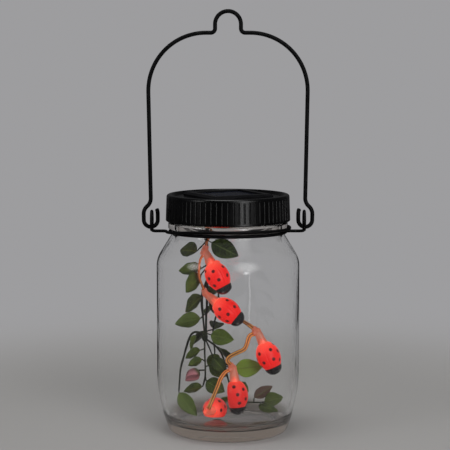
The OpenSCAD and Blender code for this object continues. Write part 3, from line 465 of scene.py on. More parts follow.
def jar_profile():
    """Outline (r, z) as arcs and straight bits, and a 1 for each point that may carry thread."""
    tan_lean, cos_lean, sin_lean = (f(np.radians(LEAN)) for f in (np.tan, np.cos, np.sin))
    heel_cx = BODY_R - HEEL_R
    edge_cx = heel_cx + np.sqrt((HEEL_R - EDGE_R) ** 2 - (HEEL_H - EDGE_R) ** 2)
    edge_end = np.degrees(np.arctan2(EDGE_R - HEEL_H, edge_cx - heel_cx))
    corner_z = FLOOR + CORNER_R
    corner_cx = heel_cx + np.sqrt((HEEL_R - WALL - CORNER_R) ** 2 - (HEEL_H - corner_z) ** 2)
    corner_end = np.degrees(np.arctan2(corner_z - HEEL_H, corner_cx - heel_cx))
    run = (BODY_R - SHOULDER_R * (1 - cos_lean) - NECK_R) / tan_lean
    shoulder_z = GROOVE_Z - run - SHOULDER_R * sin_lean
    shoulder_cx = BODY_R - SHOULDER_R
    inner = (shoulder_cx + (SHOULDER_R - WALL) * cos_lean, shoulder_z + (SHOULDER_R - WALL) * sin_lean)
    foot, throat_z = edge_cx - 3, inner[1] + (inner[0] - MOUTH_R) / tan_lean
    hollow = np.linspace(0, 1, 12)[:, None]
    outside = np.vstack([
        np.hstack([(foot - 2) * hollow, HOLLOW - 0.4 * hollow ** 2]), [[foot - 0.8, 0.35], [foot, 0]],
        arc(edge_cx, EDGE_R, EDGE_R, -90, edge_end, 12), arc(heel_cx, HEEL_H, HEEL_R, edge_end, 0, 20)[1:],
        arc(shoulder_cx, shoulder_z, SHOULDER_R, 0, LEAN, 16),
        [[NECK_R + 0.6, GROOVE_Z - 0.6 / tan_lean], [NECK_R + 0.2, GROOVE_Z], [NECK_R, GROOVE_Z + 0.5],
         [NECK_R, BEAD_LOW - 0.4], [NECK_R + 0.3, BEAD_LOW]],
        arc(BEAD_R - BEAD_EDGE, BEAD_LOW + BEAD_EDGE, BEAD_EDGE, -90, 0, 8),
        arc(BEAD_R - BEAD_EDGE, BEAD_TOP - BEAD_EDGE, BEAD_EDGE, 0, 90, 8)])
    screw_z = np.linspace(BEAD_TOP + 0.1, RIM_Z - LIP_R - 0.05, SCREW_ROWS)
    screw = np.stack([np.full(SCREW_ROWS, FINISH_R), screw_z], -1)
    inside = np.vstack([
        arc(FINISH_R - LIP_R, RIM_Z - LIP_R, LIP_R, 0, 90, 8),
        arc(MOUTH_R + LIP_R, RIM_Z - LIP_R, LIP_R, 90, 180, 8)[1:],
        [[MOUTH_R, throat_z + 0.4], [MOUTH_R + 0.25, throat_z - 0.3]],
        arc(shoulder_cx, shoulder_z, SHOULDER_R - WALL, LEAN, 0, 14),
        arc(heel_cx, HEEL_H, HEEL_R - WALL, 0, corner_end, 18),
        arc(corner_cx, corner_z, CORNER_R, corner_end, -90, 14)[1:],
        np.stack([corner_cx * np.linspace(1, 0, 12)[1:], np.full(11, FLOOR)], -1)])
    carries = np.repeat([0.0, 1.0, 0.0], [len(outside), SCREW_ROWS, len(inside)])
    return np.vstack([outside, screw, inside]), carries


# %% [markdown]
# The screw ridge could be a solid strip wound round the finish. It is one with the glass in
# a pressed jar and has soft flanks, so here the outline's own points are pushed outwards.

# %% Screw ridge
PITCH_MM, RIDGE_Z, RIDGE_H, RIDGE_HALF, LAPS = 5.08, 129.4, 0.95, 0.8, 1.25


def thread_bump(angle, z):
    """Height of the ridge: a bell curve in z about a line that climbs one pitch per turn,
    times a ramp at each end of its turn and a quarter."""
    height = 0
    for lap in (0, 1):
        t = angle / (2 * np.pi) + lap
        fade = np.clip(t / 0.06, 0, 1) * np.clip((LAPS - t) / 0.06, 0, 1)
        height = height + fade * np.exp(-((z - RIDGE_Z - PITCH_MM * t) / RIDGE_HALF) ** 2)
    return RIDGE_H * height


profile, carries = jar_profile()
grid = revolve(profile, AROUND)
angle = circle(AROUND)[None, :]
swell = thread_bump(angle, profile[:, 1:2]) * carries[:, None] * MM
grid[..., 0] += swell * np.cos(angle)
grid[..., 1] += swell * np.sin(angle)
jar = mesh_piece("jar_glass", [grid], weld=1e-6, smooth_angle=40)

# %% [markdown]
# Pressed glass isn't optically flat. Its surface swells and sinks by hundredths of a
# millimetre, which bends what is seen through it into soft streaks. A low bump from
# stretched noise does that without any more mesh. Shadow rays go straight through, because
# a renderer would otherwise need caustics to light what stands inside.

# %% Clear glass
glass = Finish("pressed_clear_glass", Roughness=0.02, IOR=1.46, Transmission_Weight=1.0)
height = glass.split()[2]
base, finish = glass.ramp(height, 0.015, 0.006), glass.ramp(height, 0.1205, 0.1235)
# Darker and browner in the thick base and at the finish: partly the glass's own tint, mostly painted shade
# for the shadowed floor that the thick glass shows.
tint_and_painted_shade = base.maths("MAXIMUM", 0.45 * finish)
stretch = glass.add("ShaderNodeMapping", None, {"Vector": glass.place(), "Scale": (1.0, 1.0, 0.45)})
waves = glass.noise(48.0, 1.0, 0.4, at=stretch) + 0.22 * glass.noise(150.0, 1.0, 0.4, at=stretch)
tint = glass.mix(tint_and_painted_shade, (0.968, 0.970, 0.968), (0.45, 0.38, 0.32))
glass.feed(Base_Color=tint, Normal=glass.bump(waves, 0.30, 0.0012))
glass.see_through()
dress(jar, glass, "jar", ["glass_jar"])

# %% [markdown]
# Two pieces of round steel wire make the hanger. The neck wire is one length: it starts in a
# rolled ear, runs one and a half turns round the neck, first outside the bead and then in the
# groove below it, and ends in the other ear. A wire is a circle carried along a path, so all
# the work lies in the path, written as the wire bender would: feed, radius, turn.

# %% Neck wire
WIRE_R, STUB_Z, STUB_BEND, STRAND_RISE = 0.95, 120.65, 2.5, 3.15
INNER_LAY, OUTER_LAY, EAR_X, EAR_R = 34.5, 36.7, 45.3, 5.9
EAR_Z = STUB_Z + EAR_R
OVER_BEAD = 1.05
# A wire measured with ten flat sides has the section of a round one that is 3% slimmer.
SAME_SECTION = 0.968


def ease(x, a, b):
    """Smooth step: 3 t squared minus 2 t cubed, with t from 0 at a to 1 at b."""
    t = np.clip((x - a) / (b - a), 0, 1)
    return t * t * (3 - 2 * t)


def neck_path():
    """Points from one ear to the other. Radius and height along the turns are smooth steps
    of the angle; each ear is a circle that a Bezier curve joins to its stub."""
    t = np.linspace(0, 1, 9)[:-1, None]
    a0, sweep = np.radians(25), np.radians(305)
    p0 = np.array([EAR_X - STUB_BEND - 0.3, 0, STUB_Z])
    p3 = np.array([EAR_X, EAR_R * np.sin(a0), EAR_Z - EAR_R * np.cos(a0)])
    p1, p2 = p0 + [1.7, 0, 0], p3 - 1.2 * np.array([0, np.cos(a0), np.sin(a0)])
    lead_in = (1 - t) ** 3 * p0 + 3 * (1 - t) ** 2 * t * p1 + 3 * (1 - t) * t ** 2 * p2 + t ** 3 * p3
    a = a0 + sweep * np.linspace(0, 1, 56)
    ring = np.stack([np.full(56, EAR_X), EAR_R * np.sin(a), EAR_Z - EAR_R * np.cos(a)], -1)
    right = np.vstack([lead_in, ring])
    left = right[::-1] * [-1, 1, 1]
    first = 180 + np.degrees(np.arcsin(STUB_BEND / OUTER_LAY))
    last = 720 - np.degrees(np.arcsin(STUB_BEND / INNER_LAY))
    start_x = -OUTER_LAY * np.cos(np.radians(first - 180)) - STUB_BEND
    end_x = INNER_LAY * np.cos(np.radians(720 - last)) + STUB_BEND
    stubs = [arc(start_x, -STUB_BEND, STUB_BEND, 90, 15, 8), arc(end_x, -STUB_BEND, STUB_BEND, 165, 90, 8)]
    stub_in, stub_out = (np.insert(stub, 2, STUB_Z, axis=1) for stub in stubs)
    g = np.linspace(first, last, 300)
    r = OUTER_LAY - (OUTER_LAY - INNER_LAY) * ease(g, 430, 500)
    rise = STRAND_RISE * ease(g, 180, 262) - OVER_BEAD * ease(g, 278, 360)
    before = STUB_Z + rise - (STRAND_RISE - OVER_BEAD) * ease(g, 360, 430)
    after = STUB_Z + 0.35 * ease(g, 550, 610) - 0.35 * ease(g, 650, 710)
    a = np.radians(g)
    turns = np.stack([r * np.cos(a), r * np.sin(a), np.where(g <= 540, before, after)], -1)
    return np.vstack([left, stub_in, turns, stub_out, right])


neck = mesh_piece("neck_wire_round", [tube(neck_path(), WIRE_R * SAME_SECTION)])

# %% [markdown]
# The bail is bent from thicker wire. It starts at the hook hump in the middle, bends back, and
# runs over the wide bow and down a straight arm to the teardrop eye, which goes round the ear
# of the neck wire. One half is bent step by step, and the other is its mirror image.

# %% Bail
BAIL_R, PIVOT_Z, BAIL_RISE, ARM_LEAN, BAIL_EYE_X = 1.25, 123.1, 127.25, 1.0, 45.9


def ahead(h):
    """Unit vector (x, z) that points right and is tipped down by h degrees."""
    return np.array([np.cos(np.radians(h)), -np.sin(np.radians(h))])


def bend_wire(steps, start, spacing=3.0):
    """Wire bender: feeds a straight length, then turns about a radius to the right, or to the
    left for a negative turn. A bend's points are centre plus radius times direction."""
    points, p, h = [np.array(start, float)], np.array(start, float), 0.0
    for feed, radius, turn in steps:
        q = p + feed * ahead(h)
        if feed > 0:
            n = max(1, int(feed / 2.5))
            points += [p + (q - p) * i / n for i in range(1, n + 1)]
        k, n = (-1 if turn < 0 else 1), max(2, int(abs(turn) / spacing))
        centre = q + k * radius * ahead(h + 90)
        points += [centre - k * radius * ahead(h + turn * i / n + 90) for i in range(1, n + 1)]
        p, h = points[-1], h + turn
    return np.array(points)


def bail_steps(flat, arm):
    """Feed, radius and turn of each step, from the top of the hump to the start of the eye."""
    hump = [(0, 7.6, 90), (2.5, 2.5, -90)]
    return hump + [(flat, 34, 90 + ARM_LEAN), (arm, 6.2, -50), (0, 6.2, 50), (3.5, 4.15, 90 - ARM_LEAN)]


bare = bend_wire(bail_steps(0, 0), (0, BAIL_RISE))[-1]
arm = bare[1] / np.cos(np.radians(ARM_LEAN))
flat = BAIL_EYE_X - bare[0] + arm * np.sin(np.radians(ARM_LEAN))
half = bend_wire(bail_steps(flat, arm) + [(0, 4.15, 90), (3.5, 9, 22)], (0, BAIL_RISE))
right = np.stack([half[:, 0], 0 * half[:, 0], half[:, 1] + PIVOT_Z], -1)
both = np.vstack([right[:0:-1] * [-1, 1, 1], right])
bail = mesh_piece("bail_round", [tube(both, BAIL_R * SAME_SECTION, (0, 1, 0))])

# %% [markdown]
# The wire is dipped in black lacquer. Dipped lacquer pools and thins, so its gloss changes
# from place to place, while its colour hardly does. Noise in the roughness says more about
# the coat than noise in the colour would.

# %% Black wire lacquer
lacquer = Finish("black_wire_lacquer", IOR=1.5, Specular_IOR_Level=0.06)
pools = lacquer.noise(240.0, 4.0, 0.6)
coat = lacquer.mix(lacquer.ramp(pools, 0.3, 0.8), (0.002, 0.002, 0.0022), (0.006, 0.006, 0.0066))
lacquer.feed(Base_Color=coat, Roughness=0.38 + 0.22 * pools,
             Normal=lacquer.bump(lacquer.noise(900.0), 0.16, 0.0003))
dress(neck, lacquer, "jar", ["neck_wire"])
dress(bail, lacquer, "bail", ["bail_handle"])

# %% [markdown]
# Many pieces of the lid keep the shape of the measured solid, and only need their finish.
# Moulded plastic isn't one flat black: it has a faint flow pattern and a grain that the mould
# gave it. One helper makes that family, with a range of colours, a gloss, a grain size and
# its depth. A row of the table names the pieces, then other sockets, then these values.

# %% Moulded and stamped finishes
def moulded(name, dark, pale, rough, grain, depth, cloud=90.0, **more):
    """Colour between two tones by slow noise, gloss by the same noise, grain as a bump."""
    finish = Finish(name, **more)
    flow = finish.noise(cloud, 3.0, 0.55)
    finish.feed(Base_Color=finish.mix(finish.ramp(flow, 0.3, 0.7), dark, pale), Roughness=rough + 0.12 * flow,
                Normal=finish.bump(finish.noise(grain, 2.0), depth, 0.0003))
    return finish


METAL = {"Metallic": 1.0}
MOULDED = [
    ("lid_cap", {"Specular_IOR_Level": 0.24},
     "moulded_black_cap", (0.0006, 0.0006, 0.0007), (0.0018, 0.0018, 0.002), 0.16, 2200.0, 0.12),
    ("panel_frame", {"Specular_IOR_Level": 0.14},
     "panel_frame_black", (0.0025, 0.0025, 0.003), (0.006, 0.006, 0.007), 0.28, 2600.0, 0.06),
    ("lid_gasket", {}, "foamed_seal", (0.52, 0.51, 0.48), (0.66, 0.65, 0.61), 0.6, 1500.0, 0.5),
    ("battery_housing housing_cover", {},
     "housing_black", (0.012, 0.012, 0.013), (0.024, 0.024, 0.026), 0.42, 1500.0, 0.3),
    ("cable_grommet", {}, "rubber_black", (0.014, 0.014, 0.014), (0.03, 0.03, 0.03), 0.6, 1900.0, 0.3),
    ("switch_slider", {}, "slider_black", (0.012, 0.012, 0.013), (0.03, 0.03, 0.032), 0.35, 2500.0, 0.2),
    ("controller_chip", {}, "chip_epoxy", (0.010, 0.010, 0.011), (0.018, 0.018, 0.02), 0.5, 3000.0, 0.3),
    ("cover_screws", METAL, "zinc_screws", (0.42, 0.42, 0.43), (0.62, 0.62, 0.63), 0.25, 2500.0, 0.1),
    ("switch_body", METAL, "tinned_switch", (0.4, 0.4, 0.41), (0.6, 0.6, 0.6), 0.3, 2500.0, 0.1),
    ("battery_clips", METAL, "nickel_clips", (0.5, 0.48, 0.44), (0.7, 0.68, 0.63), 0.22, 2500.0, 0.08)]
for names, more, *values in MOULDED:
    paint_node(moulded(*values, **more), *names.split())
print(len(MOULDED), "moulded and stamped finishes")

# %% [markdown]
# The solar cell is polycrystalline silicon: blue-black patches of slightly different blue,
# crossed by fine silver fingers and two wider busbars. A Voronoi pattern gives the patches.
# The fingers follow the panel, which is turned on the lid, so the pattern turns with it.

# %% Solar cell
PANEL_TURN = 28.5
cell = Finish("crystal_cell", Roughness=0.22, IOR=1.5, Specular_IOR_Level=0.05)
turned = cell.add("ShaderNodeMapping", {"vector_type": "TEXTURE"},
                  {"Vector": cell.place(), "Rotation": (0, 0, np.radians(PANEL_TURN))})
x, y, _ = cell.split(turned)
patches = cell.add("ShaderNodeTexVoronoi", None, {"Vector": turned, "Scale": 260.0}, out=1)
grey = cell.add("ShaderNodeRGBToBW", None, {"Color": patches})
fingers = abs((x / 0.0021 + 200).maths("FRACT") - 0.5) < 0.045
bars = abs(abs(y) - 0.008) < 0.0007
silver = fingers.maths("MAXIMUM", bars)
blue = cell.mix(grey, (0.003, 0.004, 0.009), (0.007, 0.010, 0.024))
cell.feed(Base_Color=cell.mix(silver, blue, (0.045, 0.047, 0.052)), Metallic=silver * 0.3,
          Roughness=0.2 + 0.15 * silver, Normal=cell.bump(silver, 0.3, 0.0001))
paint_node(cell, "solar_cell")

resin = Finish("cast_clear_resin", Base_Color=(0.96, 0.965, 0.955, 1), Roughness=0.15, IOR=1.06,
               Transmission_Weight=1.0)
resin.feed(Normal=resin.bump(resin.noise(140.0), 0.25, 0.0006))
resin.see_through()
paint_node(resin, "panel_resin")

# %% [markdown]
# Inside the housing sit the small board, the cell and their wires. They show only when the
# cover is off, yet each has the finish that tells what it is: a green board with fine
# tracks, a shrink-sleeved cell with bright ends, and a red and a black lead.

# %% Electrics
board = Finish("etched_board", Roughness=0.35)
x = board.split()[0]
tracks = abs((x / 0.0026 + 0.6 * board.noise(150.0, 1.0) + 60).maths("FRACT") - 0.5) < 0.16
board.feed(Base_Color=board.mix(tracks, (0.012, 0.10, 0.035), (0.03, 0.19, 0.07)),
           Normal=board.bump(tracks, 0.35, 0.0002))
paint_node(board, "circuit_board", "panel_backing")

shrink = Finish("cell_shrink_sleeve", IOR=1.5)
end_metal = abs(shrink.split()[0]) > 0.0134
creases = shrink.noise(700.0)
shrink.feed(Base_Color=shrink.mix(end_metal, (0.02, 0.20, 0.07), (0.6, 0.6, 0.6)), Metallic=end_metal,
            Roughness=0.25 + 0.2 * creases, Normal=shrink.bump(creases, 0.15, 0.0003))
paint_node(shrink, "battery_cell")

coil = Finish("wound_choke", Roughness=0.35)
winding = abs((coil.split()[2] / 0.0003 + 600).maths("FRACT") - 0.5)
coil.feed(Base_Color=coil.mix(winding * 2, (0.35, 0.11, 0.03), (0.10, 0.03, 0.01)),
          Metallic=0.6 + 0.3 * winding, Normal=coil.bump(winding, 0.5, 0.0001))
paint_node(coil, "inductor")

panel_lead = Finish("panel_lead_cover", IOR=1.5)
rub = panel_lead.noise(500.0, 2.0)
black_or_red = panel_lead.mix(panel_lead.split()[0] > 0.0, (0.015, 0.015, 0.016), (0.5, 0.02, 0.015))
panel_lead.feed(Base_Color=black_or_red, Roughness=0.35 + 0.2 * rub, Normal=panel_lead.bump(rub, 0.1, 0.0002))
paint_node(panel_lead, "panel_leads")
print("finished nodes", sum(bool(n.material_slots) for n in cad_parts.values()))

# %% [markdown]
# Each ladybug is a thin red shell over a light, with a glossy black head plugged into its
# front. The shell is an egg cut flat at the belly, with a groove down its back where the wing
# cases meet. Its dark spots are printed, so they lie in the surface: each point of the mesh
# stores how far inside a spot it is, and the finish reads that number.

# %% Ladybug shell
SHELL_LENGTH, SHELL_R, BELLY, EGG_Z, EGG_HALF, SPOT_R = 15.2, 7.0, 4.4, 8.3, 9.3, 1.6
SPOTS = [(z, k * a) for z, a in ((4.6, 34), (10.4, 27), (7.2, 72), (12.4, 66), (2.6, 88)) for k in (1, -1)]


def egg(z):
    """Radius of the egg at z: an ellipse about its widest place."""
    return SHELL_R * np.sqrt(np.clip(1 - ((z - EGG_Z) / EGG_HALF) ** 2, 0, 1))


def shell_grid(rows=64, cols=144):
    """Points (r sin a, r cos a, z), with r from the egg, y cut at the belly and a groove in
    the back: r falls by a narrow bell curve of x. Angle 0 is the middle of the back."""
    z = SHELL_LENGTH * (0.5 - 0.5 * np.cos(np.linspace(0, np.pi, rows)))[:, None]
    a = circle(cols)[None, :]
    r = egg(z) + 0 * a
    x, y = r * np.sin(a), r * np.cos(a)
    groove = 0.28 * np.exp(-(x / 0.28) ** 2) * (y > 0) * ease(z, 0.5, 3.0) * (1 - ease(z, 13.6, 15.0))
    y = y - groove
    y = np.where(y < -BELLY + 0.5, -BELLY + 0.5 * np.exp(np.minimum((y + BELLY - 0.5) / 0.5, 0)), y)
    body = np.stack([x, y, z + 0 * a], -1)
    tail = body[:1] * [0.86, 0.86, 1]
    tail_in = tail + [0, 0, 0.9]
    nose = body[-1:] * [0.63, 0.63, 1]
    return np.concatenate([tail_in, tail, body, nose, nose - [0, 0, 0.9]])


def spot_marks(points):
    """How far inside the nearest spot each point lies, in millimetres and at most 1: the
    spot's radius less the distance to its middle. It is 0 at the edge and outside."""
    z, a = np.array([s[0] for s in SPOTS]), np.radians([s[1] for s in SPOTS])
    r = egg(z)
    centres = np.stack([r * np.sin(a), np.maximum(r * np.cos(a), -BELLY), z], -1)
    gap = np.linalg.norm(points[:, None] - centres, axis=-1).min(1)
    return np.clip(SPOT_R - gap, 0, 1)


shape = shell_grid()
flat_points = shape.reshape(-1, 3)
spots = spot_marks(flat_points)
tails = np.clip(1 - flat_points[:, 2] / 8, 0, 1) ** 1.6

# %% [markdown]
# The lit shell is red plastic with a lamp inside. It glows most near the tail, where the lamp
# sits, and turns towards pink there. A shell that only glowed would look like a flat disc, so
# most of the red is still ordinary colour that takes light and shade.

# %% Red shell, sleeve and bulb
red = Finish("lit_red_shell", Roughness=0.32, IOR=1.5, Specular_IOR_Level=0.22, Emission_Strength=0.92)
spot, tail, lit = (red.mark(name, out=2) for name in ("spot", "tail", "lit"))
ink = red.ramp(spot, 0.42, 0.62)
glow = red.mix(tail, (0.50, 0.005, 0.004), (0.92, 0.10, 0.06))
cloud = red.noise(420.0)
plastic = red.mix(cloud, (0.52, 0.006, 0.005), (0.64, 0.012, 0.009))
glow = red.mix(lit, (0.0, 0.0, 0.0), red.mix(ink, glow, (0.07, 0.0, 0.0)))
red.feed(Base_Color=red.mix(ink, plastic, (0.05, 0.002, 0.002)), Emission_Color=glow,
         Normal=red.bump(cloud, 0.08, 0.0003))

sleeve = Finish("glowing_sleeve", Roughness=0.3, IOR=1.4, Transmission_Weight=0.7, Emission_Strength=0.12)
haze = sleeve.noise(380.0)
sleeve.feed(Base_Color=sleeve.mix(haze, (0.66, 0.27, 0.17), (0.85, 0.46, 0.34)),
            Emission_Color=sleeve.mix(haze, (0.55, 0.05, 0.02), (0.75, 0.16, 0.08)),
            Normal=sleeve.bump(haze, 0.1, 0.0003))
lamp = Finish("red_lamp", Roughness=0.2, IOR=1.5, Emission_Strength=1.6)
haze = lamp.noise(800.0)
lamp.feed(Base_Color=lamp.mix(haze, (0.9, 0.1, 0.05), (1.0, 0.3, 0.2)),
          Emission_Color=lamp.mix(haze, (1.0, 0.06, 0.03), (1.0, 0.16, 0.08)))

# %% [markdown]
# The head is moulded apart from the shell, in glossy black, and plugged into its front. It is
# a short dome with a low swelling for each eye, as paint alone would catch no light there.
# The swelling is a bell curve that pushes the dome's own points outwards.

# %% Ladybug head
HEAD_LENGTH, EYE_R = 4.6, 1.3


def head_grid(rows=30, cols=96):
    """Dome: the radius is the shell's at its nose times (1 - t^2.2)^0.5, plus 0.35 (1 - t),
    cut flat at the belly. Each eye adds a bell curve of the distance to its middle."""
    t = np.sin(np.linspace(0, np.pi / 2, rows))[:, None]
    a = circle(cols)[None, :]
    r = egg(SHELL_LENGTH) * np.sqrt(np.clip(1 - t ** 2.2, 0, 1)) + 0.35 * (1 - t)
    x, y, z = r * np.sin(a), r * np.cos(a), SHELL_LENGTH + HEAD_LENGTH * t + 0 * a
    points = np.stack([x, np.maximum(y, -BELLY), z], -1)
    for side in (-1, 1):
        eye = np.array([side * 2.6, 2.4, SHELL_LENGTH + 2.6])
        swell = 0.55 * np.exp(-(np.linalg.norm(points - eye, axis=-1) / 0.9) ** 2)
        points = points + swell[..., None] * unit([side * 0.7, 0.6, 0.3])
    base = points[:1] * [0.5, 0.5, 1]
    points[..., 2] = np.minimum(points[..., 2], SHELL_LENGTH + HEAD_LENGTH)
    return np.concatenate([base, points])


head_shape = head_grid()
head_flat = head_shape.reshape(-1, 3)
eyes = np.array([[side * 2.8, 2.65, SHELL_LENGTH + 2.7] for side in (-1, 1)])
eye_gap = np.linalg.norm(head_flat[:, None] - eyes, axis=-1).min(1)
head_black = Finish("glossy_black_head", Roughness=0.14, IOR=1.5, Specular_IOR_Level=0.2)
eye = head_black.mark("eye", out=2)
black = head_black.mix(head_black.noise(300.0), (0.004, 0.004, 0.005), (0.014, 0.012, 0.013))
head_black.feed(Base_Color=head_black.mix(head_black.ramp(eye, 0.4, 0.6), black, (0.10, 0.09, 0.09)),
                Normal=head_black.bump(head_black.noise(900.0), 0.06, 0.0002))

# %% [markdown]
# The shapes are worked out once, in the bug's own frame, and each ladybug is a copy of those
# points that is turned and moved. Instances would be lighter, but a piece with its place in
# its mesh is easier to bake. The pieces that hang on the lead are gathered in a list. The
# five bulbs aren't equally bright, so each shell stores its share of the glow.

# %% Five ladybugs
LIGHT_OF_BULBS = (1.0, 0.95, 0.92, 0.50, 0.70)
on_lead = []
for b in range(5):
    n = b + 1
    placed = bug_place(flat_points, b).reshape(shape.shape)
    marks = {"spot": spots, "tail": tails, "lit": 0 * tails + LIGHT_OF_BULBS[b]}
    shell = mesh_piece(f"ladybug_shell_{n}", [placed], marks=marks, smooth_angle=50)
    dress(shell, red, "lid", [f"bug_shell_{n}"])
    placed = bug_place(head_flat, b).reshape(head_shape.shape)
    marks = {"eye": np.clip(EYE_R - eye_gap, 0, 1)}
    head = mesh_piece(f"ladybug_head_{n}", [placed], marks=marks, smooth_angle=60)
    dress(head, head_black, "lid", [f"bug_head_{n}"])
    paint_node(sleeve, f"led_sleeve_{n}")
    paint_node(lamp, f"led_bulb_{n}")
    on_lead += [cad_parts[f"led_sleeve_{n}"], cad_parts[f"led_bulb_{n}"], shell, head]

# %% [markdown]
# The vine is the cheap kind for craft work: moulded green stems with fabric or soft plastic
# leaves. All its stems and stalks go into one mesh of round tubes, each thinner at its end.
# The points are those of the measured stems, joined by a smooth curve. A leaf's row has the
# root of its stalk, the foot of its blade, then heading, droop, length, width and roll, and a
# bend of the stalk where there is one. A bud's row has root, foot, heading, droop and size.

# %% Vine stems
MAIN_STEM = [(-12.5, 2.5, -0.3), (-12.5, 2.4, -5), (-12.8, 1.8, -15), (-12.5, 1.5, -30),
             (-12.5, 1.5, -45), (-13, 1.5, -57), (-13.2, 0.5, -66), (-14, -1, -71)]
STEMS = [
    (0.75, [(-12.6, 1.4, -36), (-15.5, -0.5, -45), (-15.2, -1.5, -56), (-14, -1, -68)]),
    (0.7, [(-13.8, -0.8, -70), (-18, -3, -66.5), (-22, -5.5, -67.5), (-25, -7.5, -76),
           (-28, -8.5, -88), (-29, -9, -101)]),
    (0.6, [(-14, -1, -70.5), (-14, -3, -77), (-13.5, -5, -87), (-13.5, -7, -93), (-14.5, -8, -98)]),
    (0.55, [(-13.8, -1, -70.5), (-11, -3, -76), (-9, -5, -80.5)]),
    (0.6, [(-13.8, -0.8, -70.5), (-7, 0.5, -76), (-3, 1.5, -82.5), (-1, 3.5, -92), (1, 7, -101),
           (4, 9, -107.5), (9, 9.5, -111.5), (16, 9, -112), (22, 8, -111.5)]),
    (0.6, [(-12.6, 1.5, -24), (-9, 6, -30), (-6, 10, -40), (-6, 13, -54), (-9, 14, -68), (-8, 15, -82)])]
SPRAYS = [
    [((-12.7, 1.9, -13), (-18.5, -3.5, -18.5), -150, -12, 11.5, 11, 60),
     ((-12.6, 2.2, -7), (-9.5, -13, -12), -18, 24, 17.5, 12, 75, (-15.5, -7.5, -8.5)),
     ((-12.5, 1.5, -26), (-15.5, -3, -28), -158, 0, 15, 9.5, 65),
     ((-12.5, 1.5, -28), (-16, -4, -32), -145, 36, 15, 11, 80)],
    [((-12.5, 1.5, -43), (-15.5, -5, -44.5), -155, 35, 14, 11, 65),
     ((-12.5, 1.5, -42), (-11, 4.5, -47), 12, 45, 17, 10, 85),
     ((-13, 1.5, -55), (-16.5, -4, -58), -168, 8, 15.5, 10, 75),
     ((-12.5, 1.5, -33), (-6, 5, -37), 16, 28, 9, 6, 50)],
    [((-13.5, 0, -67.5), (-10, -3.5, -68), -21, 9, 14, 10, 80),
     ((-18, -3, -66.5), (-19, -7, -68), -120, 41, 11, 7.5, 80),
     ((-14, -2.9, -76.5), (-16.5, -5, -77), -152, 17, 11, 7.5, 65),
     ((-13.7, -4.5, -84), (-15.5, -5, -82.5), -170, 20, 9, 6.5, 70),
     ((-9, -5, -80.5), (-8.6, -5.6, -81.6), -29, 45, 11.5, 8, 70)],
    [((-13.5, -5, -87), (-11, -4, -86.5), -10, 30, 12, 8.5, 60),
     ((-14.5, -8, -98), (-15.3, -8.5, -98.5), -156, 4, 12.5, 7, 70),
     ((-13.6, -6.5, -92), (-12.7, -10.5, -94.8), -25, 24, 12.5, 10, 65),
     ((-29, -9, -101), (-28.8, -9.2, -102), -25, 50, 17, 9, 75)],
    [((-2, 2.6, -88), (4.5, 0, -89.5), -11, -8, 16.5, 11, 85),
     ((0.3, 5.6, -98), (6, 2.5, -99), 15, 35, 9, 6.5, 60),
     ((4, 9, -107.5), (3.2, 10.5, -109.5), -200, 20, 12, 7.5, 30),
     ((16, 9, -112), (16.5, 11.5, -109.5), 8, -33, 13, 7, 60),
     ((22, 8, -111.5), (22.2, 7.5, -111.5), -25, -20, 12.5, 9.5, 70),
     ((20, 8.3, -111.7), (18.5, 4, -113.2), -30, 4, 13, 6.5, 50)],
    [((-6.2, 10, -41), (-7, 13, -42), 115, 25, 14, 8.5, 20),
     ((-6, 13, -52), (-8.5, 16, -53), 120, 30, 14, 8.5, -10),
     ((-8, 13.7, -63), (-6, 16.5, -64), 100, 20, 15, 9, 15),
     ((-9, 14, -68), (-12.5, 15.5, -69), 150, 35, 14, 8.5, 20),
     ((-8.3, 14.7, -78), (-5, 17.5, -80), 60, 35, 13, 8.5, 10),
     ((-8, 15, -82), (-8.2, 15.4, -83.3), 100, 55, 14, 8.5, 0)]]
BUDS = [((-13.6, -5.6, -89), (-17, -12.5, -87.5), -160, 35, 1),
        ((-2.2, 2.4, -86.5), (1.5, -4.5, -86.5), -60, 30, 0.35)]
print(len(STEMS) + 1, "stems,", sum(map(len, SPRAYS)), "leaves and", len(BUDS), "buds")


# %% [markdown]
# A branch leaves its stem like a plug, so each tube starts inside the one that it grows from
# and no welding is needed. Where most branches meet, an egg-shaped knuckle hides the crowd.

# %% Stems in one mesh
def heading(az, droop):
    """Unit vector: turned az in plan and tipped down by droop."""
    az, droop = np.radians(az), np.radians(droop)
    return np.array([np.cos(az) * np.cos(droop), np.sin(az) * np.cos(droop), -np.sin(droop)])


def stem_tube(points, radius, end=0.75, spacing=1.0, sides=12):
    """Tube along a smooth curve, whose radius falls evenly to its last share, end."""
    path = along(points, spacing) + LIFT
    return tube(path, radius * np.linspace(1, end, len(path)), (0.1, 1, 0.1), sides)


def stalk_points(f):
    """Points of a leaf's stalk: its root, its bend if any, and just behind the blade's foot."""
    last = np.array(f[1]) - 0.1 * heading(f[2], f[3])
    return [f[0], f[7], last] if len(f) > 7 else [f[0], last]


def knuckle(place, radius, height):
    """Egg-shaped joint that the branches plug into: radius sin a round, height cos a up."""
    a, b = np.linspace(0, np.pi, 14)[:, None], circle(20)[None, :]
    r = radius * np.sin(a)
    shape = np.stack([r * np.cos(b), r * np.sin(b), height * np.cos(a) + 0 * b], -1)
    return (shape + np.array(place) + LIFT) * MM


tubes = [stem_tube(MAIN_STEM, 0.9, 0.85), knuckle((-13.9, -0.9, -69.6), 2.0, 3.2)]
tubes += [stem_tube(points, r) for r, points in STEMS]
tubes += [stem_tube(stalk_points(f), 0.45, 0.8, 1.5, 8) for spray in SPRAYS for f in spray]
for root, foot, az, droop, _ in BUDS:
    tubes.append(stem_tube([root, np.array(foot) + 0.2 * heading(az, droop)], 0.5, 0.9, 1.5, 8))
stem = mesh_piece("vine_stems", tubes)
bark = moulded("moulded_stem", (0.005, 0.007, 0.003), (0.016, 0.020, 0.007), 0.5, 1400.0, 0.35, 300.0,
               Specular_IOR_Level=0.12)
dress(stem, bark, "lid", ["vine_stem"])
